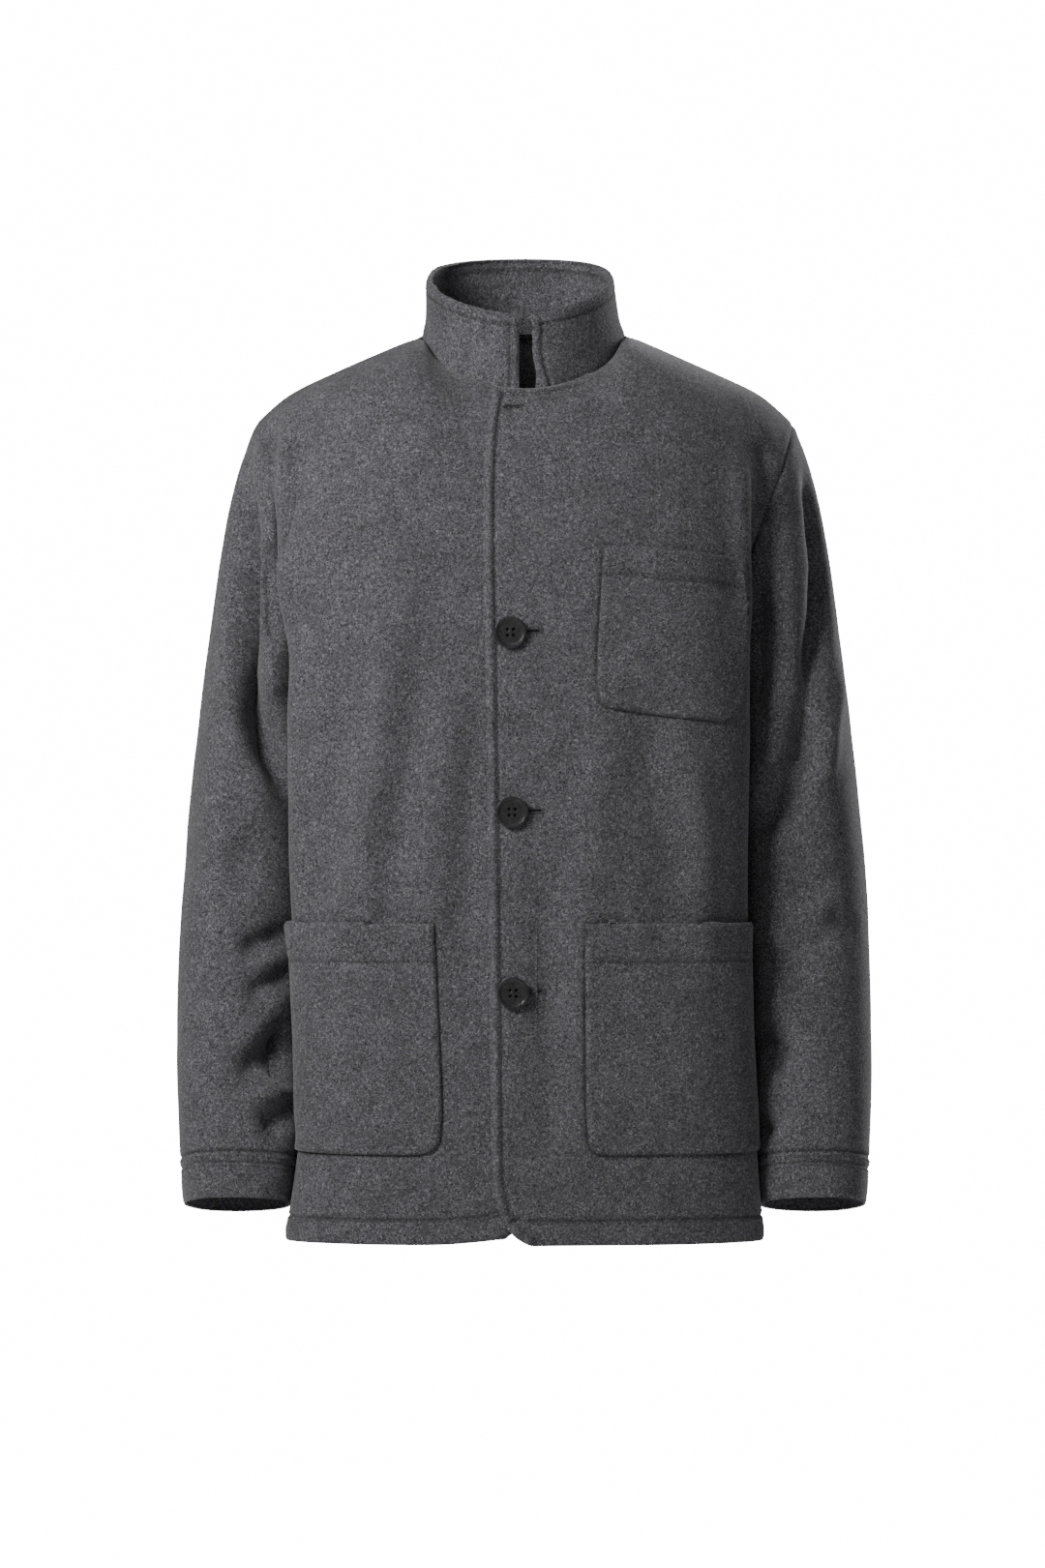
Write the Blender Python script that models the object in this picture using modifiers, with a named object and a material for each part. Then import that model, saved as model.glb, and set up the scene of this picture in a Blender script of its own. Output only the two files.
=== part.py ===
"""Stand collar jacket in wool melton, filled out as if worn and hollow inside.

Tables and named sizes are in millimetres; the mesh is in metres. +Z is up, the wearer faces -Y and
the wearer's left arm is at +X. The origin lies midway between the two neck points, where the shoulder
seams meet the collar. Every surface below is a piece's outer face, and its wall is laid inwards.
"""
import math
from bisect import bisect_right
from collections import namedtuple

import bmesh
import bpy
from mathutils import Vector

MM = 0.001

# Cloth
CLOTH = 2.2
COLLAR_WALL = 4.0
SEAM_GAP = 0.3
SHOULDER_GAP = 1.0
SHOULDER_GAP_START = 0.9
SLEEVE_GAP = 0.8
LAP_GAP = 0.8
POCKET_GAP = 0.5

# Lengths down from the neck points
UNDERARM = -255.0
HEM = -723.0
HEM_FOLD = 20.0
CORNER_ROW = 5.5

# Neck opening and shoulder
NECK_HALF_WIDTH = 81.0
NECK_MIDDLE = -3.0
NECK_FRONT_DEPTH = 73.0
NECK_FRONT_DROP = -50.0
NECK_BACK_DEPTH = 69.0
NECK_BACK_DROP = 6.0
SHOULDER_TIP = Vector((216.0, 0.0, -72.0))
SHOULDER_SLOPE = 0.44
SHOULDER_SEAM_FORWARD = -7.0
SHOULDER_ROUND_START = 0.76

# Armhole: a tilted oval through the shoulder tip and the underarm point
UNDERARM_POINT = Vector((165.0, 3.0, UNDERARM))
ARMHOLE_FRONT = 64.0
ARMHOLE_BACK = 72.0
ARMHOLE_PULL_START = 0.62

# The sleeves press the sides of the body in, round this depth
PRESS_MIDDLE = 4.0
PRESS_REACH = 70.0
PRESS_FLATNESS = 4
BODY_CLEARANCE = 6.5
RIM_SLOPE = 0.45

# Closing: the left front laps over the right one
UNDERLAP_EDGE = 12.6
BUTTON_LINE = -9.4
LAP_FADE_START = 22.0
LAP_FADE_END = 60.0
LAP_DROP_SHARE = 0.006
CORNER_WIDTH = 35.0
CORNER_HEIGHT = 57.0
RIGHT_HEM_LIFT = 7.0
RIGHT_HEM_LIFT_REACH = 90.0
RIGHT_HEM_LIFT_FADE = 120.0
EDGE_STITCH = 7.0

BodySection = namedtuple("BodySection", "height half_width front back squareness pinch")
BODY = (
    BodySection(HEM, 213.0, 125.0, 116.0, 2.9, 30.0),
    BodySection(-660.0, 209.0, 130.0, 120.0, 3.0, 38.0),
    BodySection(-560.0, 207.0, 132.0, 122.0, 3.1, 42.0),
    BodySection(-420.0, 207.0, 130.0, 122.0, 3.2, 42.0),
    BodySection(UNDERARM, 207.0, 128.0, 128.0, 3.4, 42.0),
)

EdgePlace = namedtuple("EdgePlace", "height arc")
LEFT_EDGE = (
    EdgePlace(HEM, -33.0),
    EdgePlace(-420.0, -32.0),
    EdgePlace(-230.0, -30.5),
    EdgePlace(-130.0, -26.0),
    EdgePlace(-50.0, -19.5),
)

SleeveSection = namedtuple("SleeveSection", "height outer inner front back")
SLEEVE = (
    SleeveSection(-697.0, 272.0, 194.0, -95.0, -4.0),
    SleeveSection(-620.0, 277.0, 190.0, -91.0, 8.0),
    SleeveSection(-520.0, 278.0, 182.0, -75.0, 37.0),
    SleeveSection(-430.0, 274.5, 174.0, -65.0, 62.0),
    SleeveSection(-340.0, 266.5, 170.0, -70.0, 78.0),
    SleeveSection(UNDERARM, 255.5, 167.0, -75.0, 85.0),
    SleeveSection(-163.0, 242.5, 165.0, -71.0, 80.0),
    SleeveSection(-110.0, 231.0, 165.0, -62.0, 70.0),
    SleeveSection(-72.0, 216.0, 165.0, -50.0, 56.0),
)
SLEEVE_SQUARENESS = 2.3
CUFF_TILT = 0.21
CUFF_FOLD_SHARE = 0.065
CAP_SHARE = 0.34
CLEAR_SHARE = 0.16

# Largest sleeve folds: a line from top to bottom, angle 0 outside and 90 at the front of the arm
FOLD_FADE = 0.7
Fold = namedtuple("Fold", "top_angle top bottom_angle bottom half_width depth")
LEFT_SLEEVE_FOLDS = (
    Fold(52.0, -95.0, 58.0, -300.0, 13.0, -7.0),
    Fold(82.0, -110.0, 92.0, -330.0, 16.0, 4.0),
    Fold(70.0, -290.0, 130.0, -385.0, 14.0, 5.0),
    Fold(88.0, -330.0, 150.0, -420.0, 14.0, -6.0),
    Fold(60.0, -455.0, 125.0, -480.0, 12.0, -4.0),
    Fold(110.0, -520.0, 120.0, -620.0, 14.0, -5.0),
    Fold(290.0, -330.0, 230.0, -420.0, 16.0, -6.0),
    Fold(250.0, -390.0, 300.0, -440.0, 15.0, 4.0),
)
RIGHT_SLEEVE_FOLDS = (
    Fold(58.0, -90.0, 60.0, -280.0, 13.0, -6.0),
    Fold(86.0, -120.0, 88.0, -310.0, 15.0, 4.0),
    Fold(80.0, -300.0, 132.0, -370.0, 13.0, -6.0),
    Fold(70.0, -395.0, 120.0, -430.0, 12.0, -4.0),
    Fold(100.0, -550.0, 128.0, -600.0, 13.0, -6.0),
    Fold(112.0, -600.0, 130.0, -650.0, 12.0, -5.0),
    Fold(285.0, -320.0, 235.0, -410.0, 16.0, -6.0),
    Fold(255.0, -400.0, 305.0, -450.0, 15.0, 4.0),
)

# Stand collar
COLLAR_TOP_HALF_WIDTH = 73.0
COLLAR_TOP_MIDDLE = 2.0
COLLAR_TOP_FRONT = 72.0
COLLAR_TOP_BACK = 70.0
COLLAR_TOP_LEVEL = 40.0
COLLAR_TOP_RISE = 29.0
COLLAR_SIDE_LIFT = 8.0
COLLAR_LEFT_END = 9.0
COLLAR_RIGHT_END = -2.0
COLLAR_CORNER_SHARE = 0.4
COLLAR_UPRIGHT = 0.8
COLLAR_BEND_SHARE = 0.4
COLLAR_SEAM_LIFT = 0.6
COLLAR_END_STEP = 0.12

# Patch pockets: arcs are measured along the cloth from the centre front
Pocket = namedtuple("Pocket", "name side inner_top inner_bottom outer top bottom")
POCKETS = (
    Pocket("pocket_chest", 1, 59.0, 55.0, 186.0, -176.0, -304.0),
    Pocket("pocket_left", 1, 52.0, 56.0, 221.0, -466.0, -652.0),
    Pocket("pocket_right", -1, 76.0, 71.0, 241.0, -466.0, -652.0),
)
POCKET_CORNER_SHARE = 0.36

# Buttons: a turned disc with a raised rim, a dished face and four holes
BUTTON_HEIGHTS = {"button_top": -237.0, "button_middle": -384.0, "button_bottom": -525.0}
BUTTON_RADIUS = 12.5
BUTTON_THICKNESS = 4.4
BUTTON_RIM = 2.6
BUTTON_DISH = 1.5
BUTTON_BACK_ROUND = 1.2
BUTTON_SIDES = 20
HOLE_RADIUS = 1.1
HOLE_SPREAD = 2.1
HOLE_SIDES = 6

# Where the cloth is divided. The neck, shoulder and armhole lines are shared by the pieces that meet there.
NECK_ARCS = (20.0, 41.0, 61.0, NECK_HALF_WIDTH)
SHOULDER_SHARES = (0.13, 0.25, 0.36, 0.455, 0.54, 0.62, 0.71, 0.84)
ARMHOLE_DEGREES = (165.0, 150.0, 134.0, 117.0, 97.0, 75.0, 52.0, 30.0, 11.0, 0.0)
LOWER_HEIGHTS = (HEM, HEM + CORNER_ROW, HEM + HEM_FOLD, -678.0, -652.0, -622.0, -584.0, -541.0, -497.0, -466.0,
                 -426.0, -384.0, -343.0, -304.0, UNDERARM)
SLEEVE_SHARES = (0.0, 0.035, 0.08, 0.13, 0.185, 0.24, 0.295, 0.35, 0.405, 0.46, 0.515, 0.57, 0.625, 0.685,
                 0.75, 0.82, 0.885, 1.0 - CUFF_FOLD_SHARE, 1.0 - 0.5 * CUFF_FOLD_SHARE, 1.0)
COLLAR_SHARES = (0.0, 0.25, 0.55, 0.84, 1.0)
ARC_STEPS = 180
ARC_STEP = 2.0
CLIMB_STEP = 0.01
LEAST_CELL = 1.5

Half = namedtuple("Half", "facing neck_depth neck_drop armhole_depth rise_centre rise_shoulder")
FRONT = Half(-1.0, NECK_FRONT_DEPTH, NECK_FRONT_DROP, ARMHOLE_FRONT, 0.72, 0.97)
BACK = Half(1.0, NECK_BACK_DEPTH, NECK_BACK_DROP, ARMHOLE_BACK, 0.94, 1.01)


def smoothstep(value, start, end):
    share = min(max((value - start) / (end - start), 0.0), 1.0)
    return share * share * (3.0 - 2.0 * share)


def signed_power(value, power):
    return math.copysign(abs(value) ** power, value)


def reading(table, height):
    """The table's row at a height, on a smooth curve through its rows."""
    heights = [row.height for row in table]
    upper = min(max(bisect_right(heights, height), 1), len(table) - 1)
    low = table[upper - 1]
    high = table[upper]
    before = table[max(upper - 2, 0)]
    after = table[min(upper + 1, len(table) - 1)]
    span = high.height - low.height
    t = min(max((height - low.height) / span, 0.0), 1.0)
    values = []
    for start, end, previous, following in zip(low, high, before, after):
        slope_in = (end - previous) / (high.height - before.height) * span
        slope_out = (following - start) / (after.height - low.height) * span
        values.append((2 * t ** 3 - 3 * t ** 2 + 1) * start + (t ** 3 - 2 * t ** 2 + t) * slope_in
                      + (3 * t ** 2 - 2 * t ** 3) * end + (t ** 3 - t ** 2) * slope_out)
    return type(low)(*values)


def press(row, depth):
    """How far a sleeve presses the side of the body in at a depth."""
    return row.pinch * math.exp(-((depth - PRESS_MIDDLE) / PRESS_REACH) ** PRESS_FLATNESS)


def section_point(half, angle, height):
    """A point of the body below the arms, from angle 0 on the centre line to the side seam."""
    row = reading(BODY, height)
    power = 2.0 / row.squareness
    reach = row.front if half.facing < 0 else row.back
    across = signed_power(math.sin(angle), power) * row.half_width
    depth = half.facing * abs(math.cos(angle)) ** power * reach
    across -= press(row, depth) * math.sin(angle) * abs(math.sin(angle))
    return Vector((across, depth, height))


def side_of_body(depth, height):
    """How far the side of the body reaches at a depth, for the sleeve that lies beside it."""
    row = reading(BODY, height)
    reach = row.front if depth < 0 else row.back
    cosine = min(abs(depth) / reach, 1.0) ** (row.squareness / 2.0)
    sine = math.sqrt(1.0 - cosine ** 2)
    return sine ** (2.0 / row.squareness) * row.half_width - press(row, depth) * sine ** 2


def arc_table(half):
    """Angles from the centre line to the side seam with the cloth length run up to each."""
    angles = [0.5 * math.pi * step / ARC_STEPS for step in range(ARC_STEPS + 1)]
    places = [section_point(half, angle, UNDERARM) for angle in angles]
    lengths = [0.0]
    for start, end in zip(places, places[1:]):
        lengths.append(lengths[-1] + (end - start).length)
    return angles, lengths


ARC_TABLES = {half.facing: arc_table(half) for half in (FRONT, BACK)}


def quarter_length(half):
    return ARC_TABLES[half.facing][1][-1]


def angle_at(half, arc):
    angles, lengths = ARC_TABLES[half.facing]
    upper = min(max(bisect_right(lengths, abs(arc)), 1), len(lengths) - 1)
    share = (abs(arc) - lengths[upper - 1]) / (lengths[upper] - lengths[upper - 1])
    return math.copysign(angles[upper - 1] + share * (angles[upper] - angles[upper - 1]), arc)


def neckline(half, angle):
    """The seam under the collar, from the centre line out to the neck point at a right angle."""
    return Vector((NECK_HALF_WIDTH * math.sin(angle),
                   NECK_MIDDLE + half.facing * half.neck_depth * math.cos(angle),
                   half.neck_drop * math.cos(angle)))


def shoulder_seam(share):
    """The wearer's left shoulder seam, from the neck point out to the shoulder tip."""
    across = NECK_HALF_WIDTH + share * (SHOULDER_TIP.x - NECK_HALF_WIDTH)
    straight = -SHOULDER_SLOPE * (across - NECK_HALF_WIDTH)
    full_drop = -SHOULDER_SLOPE * (SHOULDER_TIP.x - NECK_HALF_WIDTH)
    past = max(share - SHOULDER_ROUND_START, 0.0) / (1.0 - SHOULDER_ROUND_START)
    rounding = (SHOULDER_TIP.z - full_drop) * past ** 2
    forward = NECK_MIDDLE + (SHOULDER_TIP.y - NECK_MIDDLE) * share
    forward += SHOULDER_SEAM_FORWARD * 4.0 * share * (1.0 - share)
    return Vector((across, forward, straight + rounding))


def armhole(half, angle):
    """The wearer's left armhole: angle 0 at the shoulder tip, a half turn at the underarm."""
    share = 0.5 * (1.0 + math.cos(angle))
    point = UNDERARM_POINT.lerp(SHOULDER_TIP, share)
    point.y += half.facing * half.armhole_depth * math.sin(angle)
    return point


def top_edge(half, arc):
    """Where a lengthwise line of the cloth ends: on the neckline, or further out on the shoulder seam."""
    if abs(arc) <= NECK_HALF_WIDTH:
        return neckline(half, 0.5 * math.pi * arc / NECK_HALF_WIDTH)
    share = (abs(arc) - NECK_HALF_WIDTH) / (quarter_length(half) - NECK_HALF_WIDTH)
    point = shoulder_seam(min(share, 1.0))
    return Vector((math.copysign(point.x, arc), point.y, point.z))


def arch(half, arc, climb):
    """A lengthwise line from the underarm section up and over to the shoulder."""
    foot = section_point(half, angle_at(half, arc), UNDERARM)
    head = top_edge(half, arc)
    outward = smoothstep(abs(arc), 0.0, NECK_HALF_WIDTH)
    rise = half.rise_centre + (half.rise_shoulder - half.rise_centre) * outward
    bend = Vector((0.5 * (foot.x + head.x), foot.y, foot.z + rise * (head.z - foot.z)))
    return foot.lerp(bend, climb).lerp(bend.lerp(head, climb), climb)


def torso(half, arc, height, climb):
    """A point of the body's outer face: below the underarm by height, above it by climb."""
    if climb == 0.0:
        return section_point(half, angle_at(half, arc), height)
    quarter = quarter_length(half)
    point = arch(half, arc, climb)
    pull = smoothstep(abs(arc), ARMHOLE_PULL_START * quarter, quarter)
    shift = (armhole(half, math.pi * (1.0 - climb)) - arch(half, quarter, climb)) * pull
    point += Vector((math.copysign(1.0, arc) * shift.x, shift.y, shift.z))
    if abs(arc) > NECK_ARCS[-2]:
        point.y += half.facing * 0.5 * SHOULDER_GAP * smoothstep(climb, SHOULDER_GAP_START, 1.0)
    return point


def lap(arc):
    """How far the left front stands off the right one where they lie over each other."""
    return (CLOTH + LAP_GAP) * (1.0 - smoothstep(arc, LAP_FADE_START, LAP_FADE_END))


def corner_inset(height):
    """The rounded bottom corner: how far the front edge draws back towards the hem."""
    into = min(max((HEM + CORNER_HEIGHT - height) / CORNER_HEIGHT, 0.0), 1.0)
    return CORNER_WIDTH * (1.0 - math.sqrt(1.0 - into ** 2))


Row = namedtuple("Row", "height climb")
BODY_ROWS = [Row(height, 0.0) for height in LOWER_HEIGHTS]
BODY_ROWS += [Row(UNDERARM, 1.0 - degrees / 180.0) for degrees in ARMHOLE_DEGREES]


def shared_arcs(half):
    """Arcs of the lengthwise lines that a half's pieces share, from near the centre to the side seam."""
    outer = quarter_length(half) - NECK_HALF_WIDTH
    shoulder = [NECK_HALF_WIDTH + share * outer for share in SHOULDER_SHARES]
    return list(NECK_ARCS) + shoulder + [quarter_length(half) - 0.5 * SEAM_GAP]


def front_outward(arc, row):
    """The outward direction of the fronts at a place on them."""
    further = torso(FRONT, arc + ARC_STEP, row.height, row.climb)
    across = further - torso(FRONT, arc - ARC_STEP, row.height, row.climb)
    up = Vector((0.0, 0.0, 1.0))
    if row.climb > 0.0:
        above = min(row.climb + CLIMB_STEP, 1.0)
        below = above - 2.0 * CLIMB_STEP
        up = torso(FRONT, arc, row.height, above) - torso(FRONT, arc, row.height, below)
    return across.cross(up).normalized()


def edge_arc(side, row):
    """How far the front edge lies from the centre front, towards the panel's own side."""
    height = row.height
    if row.climb > 0.0:
        height = torso(FRONT, 0.0, row.height, row.climb).z
    if side > 0:
        return reading(LEFT_EDGE, height).arc + corner_inset(height)
    return -UNDERLAP_EDGE + corner_inset(height)


def front_columns(side, row):
    """Arcs of a front's lengthwise lines on one row, from its front edge to its side seam."""
    edge = edge_arc(side, row)
    near = [edge, edge + EDGE_STITCH, 0.5 * (edge + EDGE_STITCH + NECK_ARCS[0])]
    return near + shared_arcs(FRONT)


def front_point(side, arc, row):
    """A point on a front's outer face; arcs grow from the centre front towards the panel's own side."""
    if side > 0:
        climb = row.climb * (1.0 - LAP_DROP_SHARE * lap(arc) / lap(0.0))
        return torso(FRONT, arc, row.height, climb) + front_outward(arc, row) * lap(arc)
    place = torso(FRONT, -arc, row.height, row.climb)
    near_hem = 1.0 - smoothstep(row.height, HEM, HEM + RIGHT_HEM_LIFT_FADE)
    near_edge = 1.0 - smoothstep(arc, -UNDERLAP_EDGE, RIGHT_HEM_LIFT_REACH)
    place.z += RIGHT_HEM_LIFT * near_hem * near_edge
    return place


def front_grid(side):
    return [[front_point(side, arc, row) for arc in front_columns(side, row)] for row in BODY_ROWS]


def back_grid():
    arcs = shared_arcs(BACK)
    arcs = list(reversed(arcs)) + [0.0] + [-arc for arc in arcs]
    return [[torso(BACK, arc, row.height, row.climb) for arc in arcs] for row in BODY_ROWS]


def sleeve_section(angle, height):
    """A point of the wearer's left sleeve: angle 0 outside the arm, a quarter turn at its front."""
    row = reading(SLEEVE, height)
    power = 2.0 / SLEEVE_SQUARENESS
    outward = signed_power(math.cos(angle), power)
    forward = signed_power(math.sin(angle), power)
    across = 0.5 * (row.outer + row.inner + (row.outer - row.inner) * outward)
    depth = 0.5 * (row.front + row.back + (row.front - row.back) * forward)
    return Vector((across, depth, height))


def fold_depth(folds, angle, height, girth_radius):
    """The sum of the folds at a place on a sleeve, outwards positive."""
    total = 0.0
    for fold in folds:
        along = (fold.top - height) / (fold.top - fold.bottom)
        if not 0.0 < along < 1.0:
            continue
        line = math.radians(fold.top_angle + along * (fold.bottom_angle - fold.top_angle))
        turn = math.remainder(angle - line, math.tau)
        fade = math.sin(math.pi * along) ** FOLD_FADE
        total += fold.depth * fade * math.exp(-(turn * girth_radius / fold.half_width) ** 2)
    return total


def body_limit(depth, height):
    """How far out the body reaches beside the sleeve, at a depth and a height."""
    if height <= UNDERARM:
        return side_of_body(depth, height)
    share = min((height - UNDERARM) / (SHOULDER_TIP.z - UNDERARM), 1.0)
    rim = UNDERARM_POINT.lerp(SHOULDER_TIP, share)
    turn = math.acos(2.0 * share - 1.0)
    before = rim.y - ARMHOLE_FRONT * math.sin(turn) - depth
    behind = depth - rim.y - ARMHOLE_BACK * math.sin(turn)
    return rim.x + RIM_SLOPE * max(before, behind, 0.0)


def sleeve_point(folds, angle, share):
    """A point of the wearer's left sleeve on its line from the armhole down to the cuff."""
    half = FRONT if angle < math.pi else BACK
    rim = armhole(half, abs(math.remainder(angle, math.tau)))
    rim += Vector((SLEEVE_GAP, 0.0, -SLEEVE_GAP))
    cuff = SLEEVE[0]
    cuff_height = cuff.height + CUFF_TILT * 0.5 * (cuff.back - cuff.front) * math.sin(angle)
    height = rim.z + share * (cuff_height - rim.z)
    point = sleeve_section(angle, height)
    settled = smoothstep(share, 0.0, CAP_SHARE)
    point += (rim - sleeve_section(angle, rim.z)) * (1.0 - settled)
    row = reading(SLEEVE, height)
    girth_radius = 0.25 * (row.outer - row.inner + row.back - row.front)
    radial = Vector((math.cos(angle), -math.sin(angle), 0.0))
    point += radial * fold_depth(folds, angle, height, girth_radius) * settled
    clearance = SLEEVE_GAP + (BODY_CLEARANCE - SLEEVE_GAP) * smoothstep(share, 0.0, CLEAR_SHARE)
    point.x = max(point.x, body_limit(point.y, point.z) + clearance)
    return point


def sleeve_grid(side, folds):
    front_degrees = sorted(ARMHOLE_DEGREES)
    back_degrees = [360.0 - degrees for degrees in ARMHOLE_DEGREES]
    angles = [math.radians(degrees) for degrees in front_degrees + [180.0] + back_degrees]
    rows = []
    for share in reversed(SLEEVE_SHARES):
        row = [sleeve_point(folds, angle, share) for angle in angles]
        rows.append([Vector((side * point.x, point.y, point.z)) for point in row])
    return rows


def collar_angles():
    """Turns round the neck from the wearer's left end, round the back, to the right end."""
    left_end = math.asin(COLLAR_LEFT_END / NECK_HALF_WIDTH)
    right_end = math.asin(COLLAR_RIGHT_END / NECK_HALF_WIDTH)
    quarter = [0.5 * math.pi * arc / NECK_HALF_WIDTH for arc in NECK_ARCS]
    inward = list(reversed(quarter[:-1]))
    left = [left_end, left_end + COLLAR_END_STEP] + quarter + [math.pi - turn for turn in inward]
    right = [math.pi + turn for turn in quarter] + [math.tau - turn for turn in inward]
    return left + [math.pi] + right + [math.tau + right_end - COLLAR_END_STEP, math.tau + right_end]


def collar_point(angle, share):
    """A point of the collar at a turn round the neck, from its seam up to its rim."""
    half = FRONT if math.cos(angle) > 0 else BACK
    foot = neckline(half, math.asin(math.sin(angle)))
    foot.z += COLLAR_SEAM_LIFT
    reach = COLLAR_TOP_FRONT if half.facing < 0 else COLLAR_TOP_BACK
    head = Vector((COLLAR_TOP_HALF_WIDTH * math.sin(angle),
                   COLLAR_TOP_MIDDLE - reach * math.cos(angle),
                   COLLAR_TOP_LEVEL - COLLAR_TOP_RISE * math.cos(angle)
                   + COLLAR_SIDE_LIFT * math.sin(angle) ** 2))
    bend = foot.lerp(head, COLLAR_UPRIGHT)
    bend.z = foot.z + COLLAR_BEND_SHARE * (head.z - foot.z)
    return foot.lerp(bend, share).lerp(bend.lerp(head, share), share)


def collar_grid():
    """The collar's rows from seam to rim, with the rim's left corner cut back to round it."""
    angles = collar_angles()
    rows = [[collar_point(angle, share) for angle in angles] for share in COLLAR_SHARES]
    rows[-1][0] = rows[-1][0].lerp(rows[-2][1], COLLAR_CORNER_SHARE)
    return rows


def merged_lines(first, last, lines):
    """First and last with every line that lies well between them."""
    low = min(first, last) + LEAST_CELL
    high = max(first, last) - LEAST_CELL
    inside = sorted((line for line in lines if low < line < high), reverse=first > last)
    return [first] + inside + [last]


def facet_point(side, arc, row):
    """A point on a row of a front's flat facets."""
    columns = front_columns(side, row)
    upper = min(max(bisect_right(columns, arc), 1), len(columns) - 1)
    share = (arc - columns[upper - 1]) / (columns[upper] - columns[upper - 1])
    return front_point(side, columns[upper - 1], row).lerp(front_point(side, columns[upper], row), share)


def row_levels(side):
    """The height of each row of a front, read under the neck point."""
    return [front_point(side, NECK_HALF_WIDTH, row).z for row in BODY_ROWS]


def on_front(side, arc, height):
    """A point on a front's flat facets, and the outward direction there."""
    levels = row_levels(side)
    upper = min(max(bisect_right(levels, height), 1), len(levels) - 1)
    share = (height - levels[upper - 1]) / (levels[upper] - levels[upper - 1])
    low = BODY_ROWS[upper - 1]
    high = BODY_ROWS[upper]
    point = facet_point(side, arc, low).lerp(facet_point(side, arc, high), share)
    outward = front_outward(side * arc, low).lerp(front_outward(side * arc, high), share)
    return point, outward.normalized()


def pocket_grid(pocket):
    """A patch pocket: the front's own points under it, moved out by its wall and the gap."""
    heights = merged_lines(pocket.bottom, pocket.top, row_levels(pocket.side))
    rows = []
    for height in heights:
        share = (height - pocket.bottom) / (pocket.top - pocket.bottom)
        inner = pocket.inner_bottom + share * (pocket.inner_top - pocket.inner_bottom)
        arcs = merged_lines(inner, pocket.outer, shared_arcs(FRONT))
        row = []
        for arc in arcs:
            point, outward = on_front(pocket.side, arc, height)
            row.append(point + outward * (POCKET_GAP + CLOTH))
        rows.append(row)
    bottom = rows[0]
    bottom[0] = bottom[0].lerp(rows[1][1], POCKET_CORNER_SHARE)
    bottom[-1] = bottom[-1].lerp(rows[1][-2], POCKET_CORNER_SHARE)
    return rows


def material(name, colour, roughness):
    made = bpy.data.materials.new(name)
    made.use_nodes = True
    shader = made.node_tree.nodes["Principled BSDF"]
    shader.inputs["Base Color"].default_value = (*colour, 1.0)
    shader.inputs["Roughness"].default_value = roughness
    return made


def cloth_piece(name, grid, wall, paint, outward_flip=False):
    """A wall of cloth on a grid of points, row by row from the bottom."""
    columns = len(grid[0])
    work = bmesh.new()
    bmesh.ops.create_grid(work, x_segments=columns - 1, y_segments=len(grid) - 1, size=1.0)
    work.verts.ensure_lookup_table()
    points = [point for row in grid for point in row]
    for vertex, point in zip(work.verts, points):
        vertex.co = point * MM
    bmesh.ops.remove_doubles(work, verts=work.verts, dist=0.01 * MM)
    if outward_flip:
        bmesh.ops.reverse_faces(work, faces=work.faces)
    mesh = bpy.data.meshes.new(name)
    work.to_mesh(mesh)
    work.free()
    piece = bpy.data.objects.new(name, mesh)
    JACKET.objects.link(piece)
    mesh.materials.append(paint)
    shell = piece.modifiers.new("wall", "SOLIDIFY")
    shell.thickness = wall * MM
    shell.offset = -1.0
    shell.use_even_offset = False
    return piece


def button(name, height, paint):
    """A turned button, its axis along the outward direction of the left front."""
    top = BUTTON_THICKNESS
    floor = top - BUTTON_DISH
    slope = top - 0.7 * BUTTON_DISH
    profile = (
        (0.0, 0.0),
        (BUTTON_RADIUS - BUTTON_BACK_ROUND, 0.0),
        (BUTTON_RADIUS, 0.4 * top),
        (BUTTON_RADIUS, 0.75 * top),
        (BUTTON_RADIUS - 0.3 * BUTTON_RIM, top),
        (BUTTON_RADIUS - 0.7 * BUTTON_RIM, top),
        (BUTTON_RADIUS - 1.2 * BUTTON_RIM, slope),
        (BUTTON_RADIUS - 2.4 * BUTTON_RIM, floor),
        (0.0, floor),
    )
    work = bmesh.new()
    line = [work.verts.new((radius * MM, 0.0, level * MM)) for radius, level in profile]
    edges = [work.edges.new(pair) for pair in zip(line, line[1:])]
    bmesh.ops.spin(work, geom=line + edges, cent=(0.0, 0.0, 0.0), axis=(0.0, 0.0, 1.0), angle=math.tau,
                   steps=BUTTON_SIDES, use_merge=True)
    bmesh.ops.remove_doubles(work, verts=work.verts, dist=0.001 * MM)
    bmesh.ops.recalc_face_normals(work, faces=work.faces)
    mesh = bpy.data.meshes.new(name)
    work.to_mesh(mesh)
    work.free()
    piece = bpy.data.objects.new(name, mesh)
    JACKET.objects.link(piece)
    mesh.materials.append(paint)
    place, outward = on_front(1, BUTTON_LINE, height)
    piece.location = (place + outward * SEAM_GAP) * MM
    piece.rotation_euler = outward.to_track_quat("Z", "Y").to_euler()
    drill = piece.modifiers.new("holes", "BOOLEAN")
    drill.operation = "DIFFERENCE"
    drill.solver = "EXACT"
    drill.object = hole_cutter(name, piece)
    return piece


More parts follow.
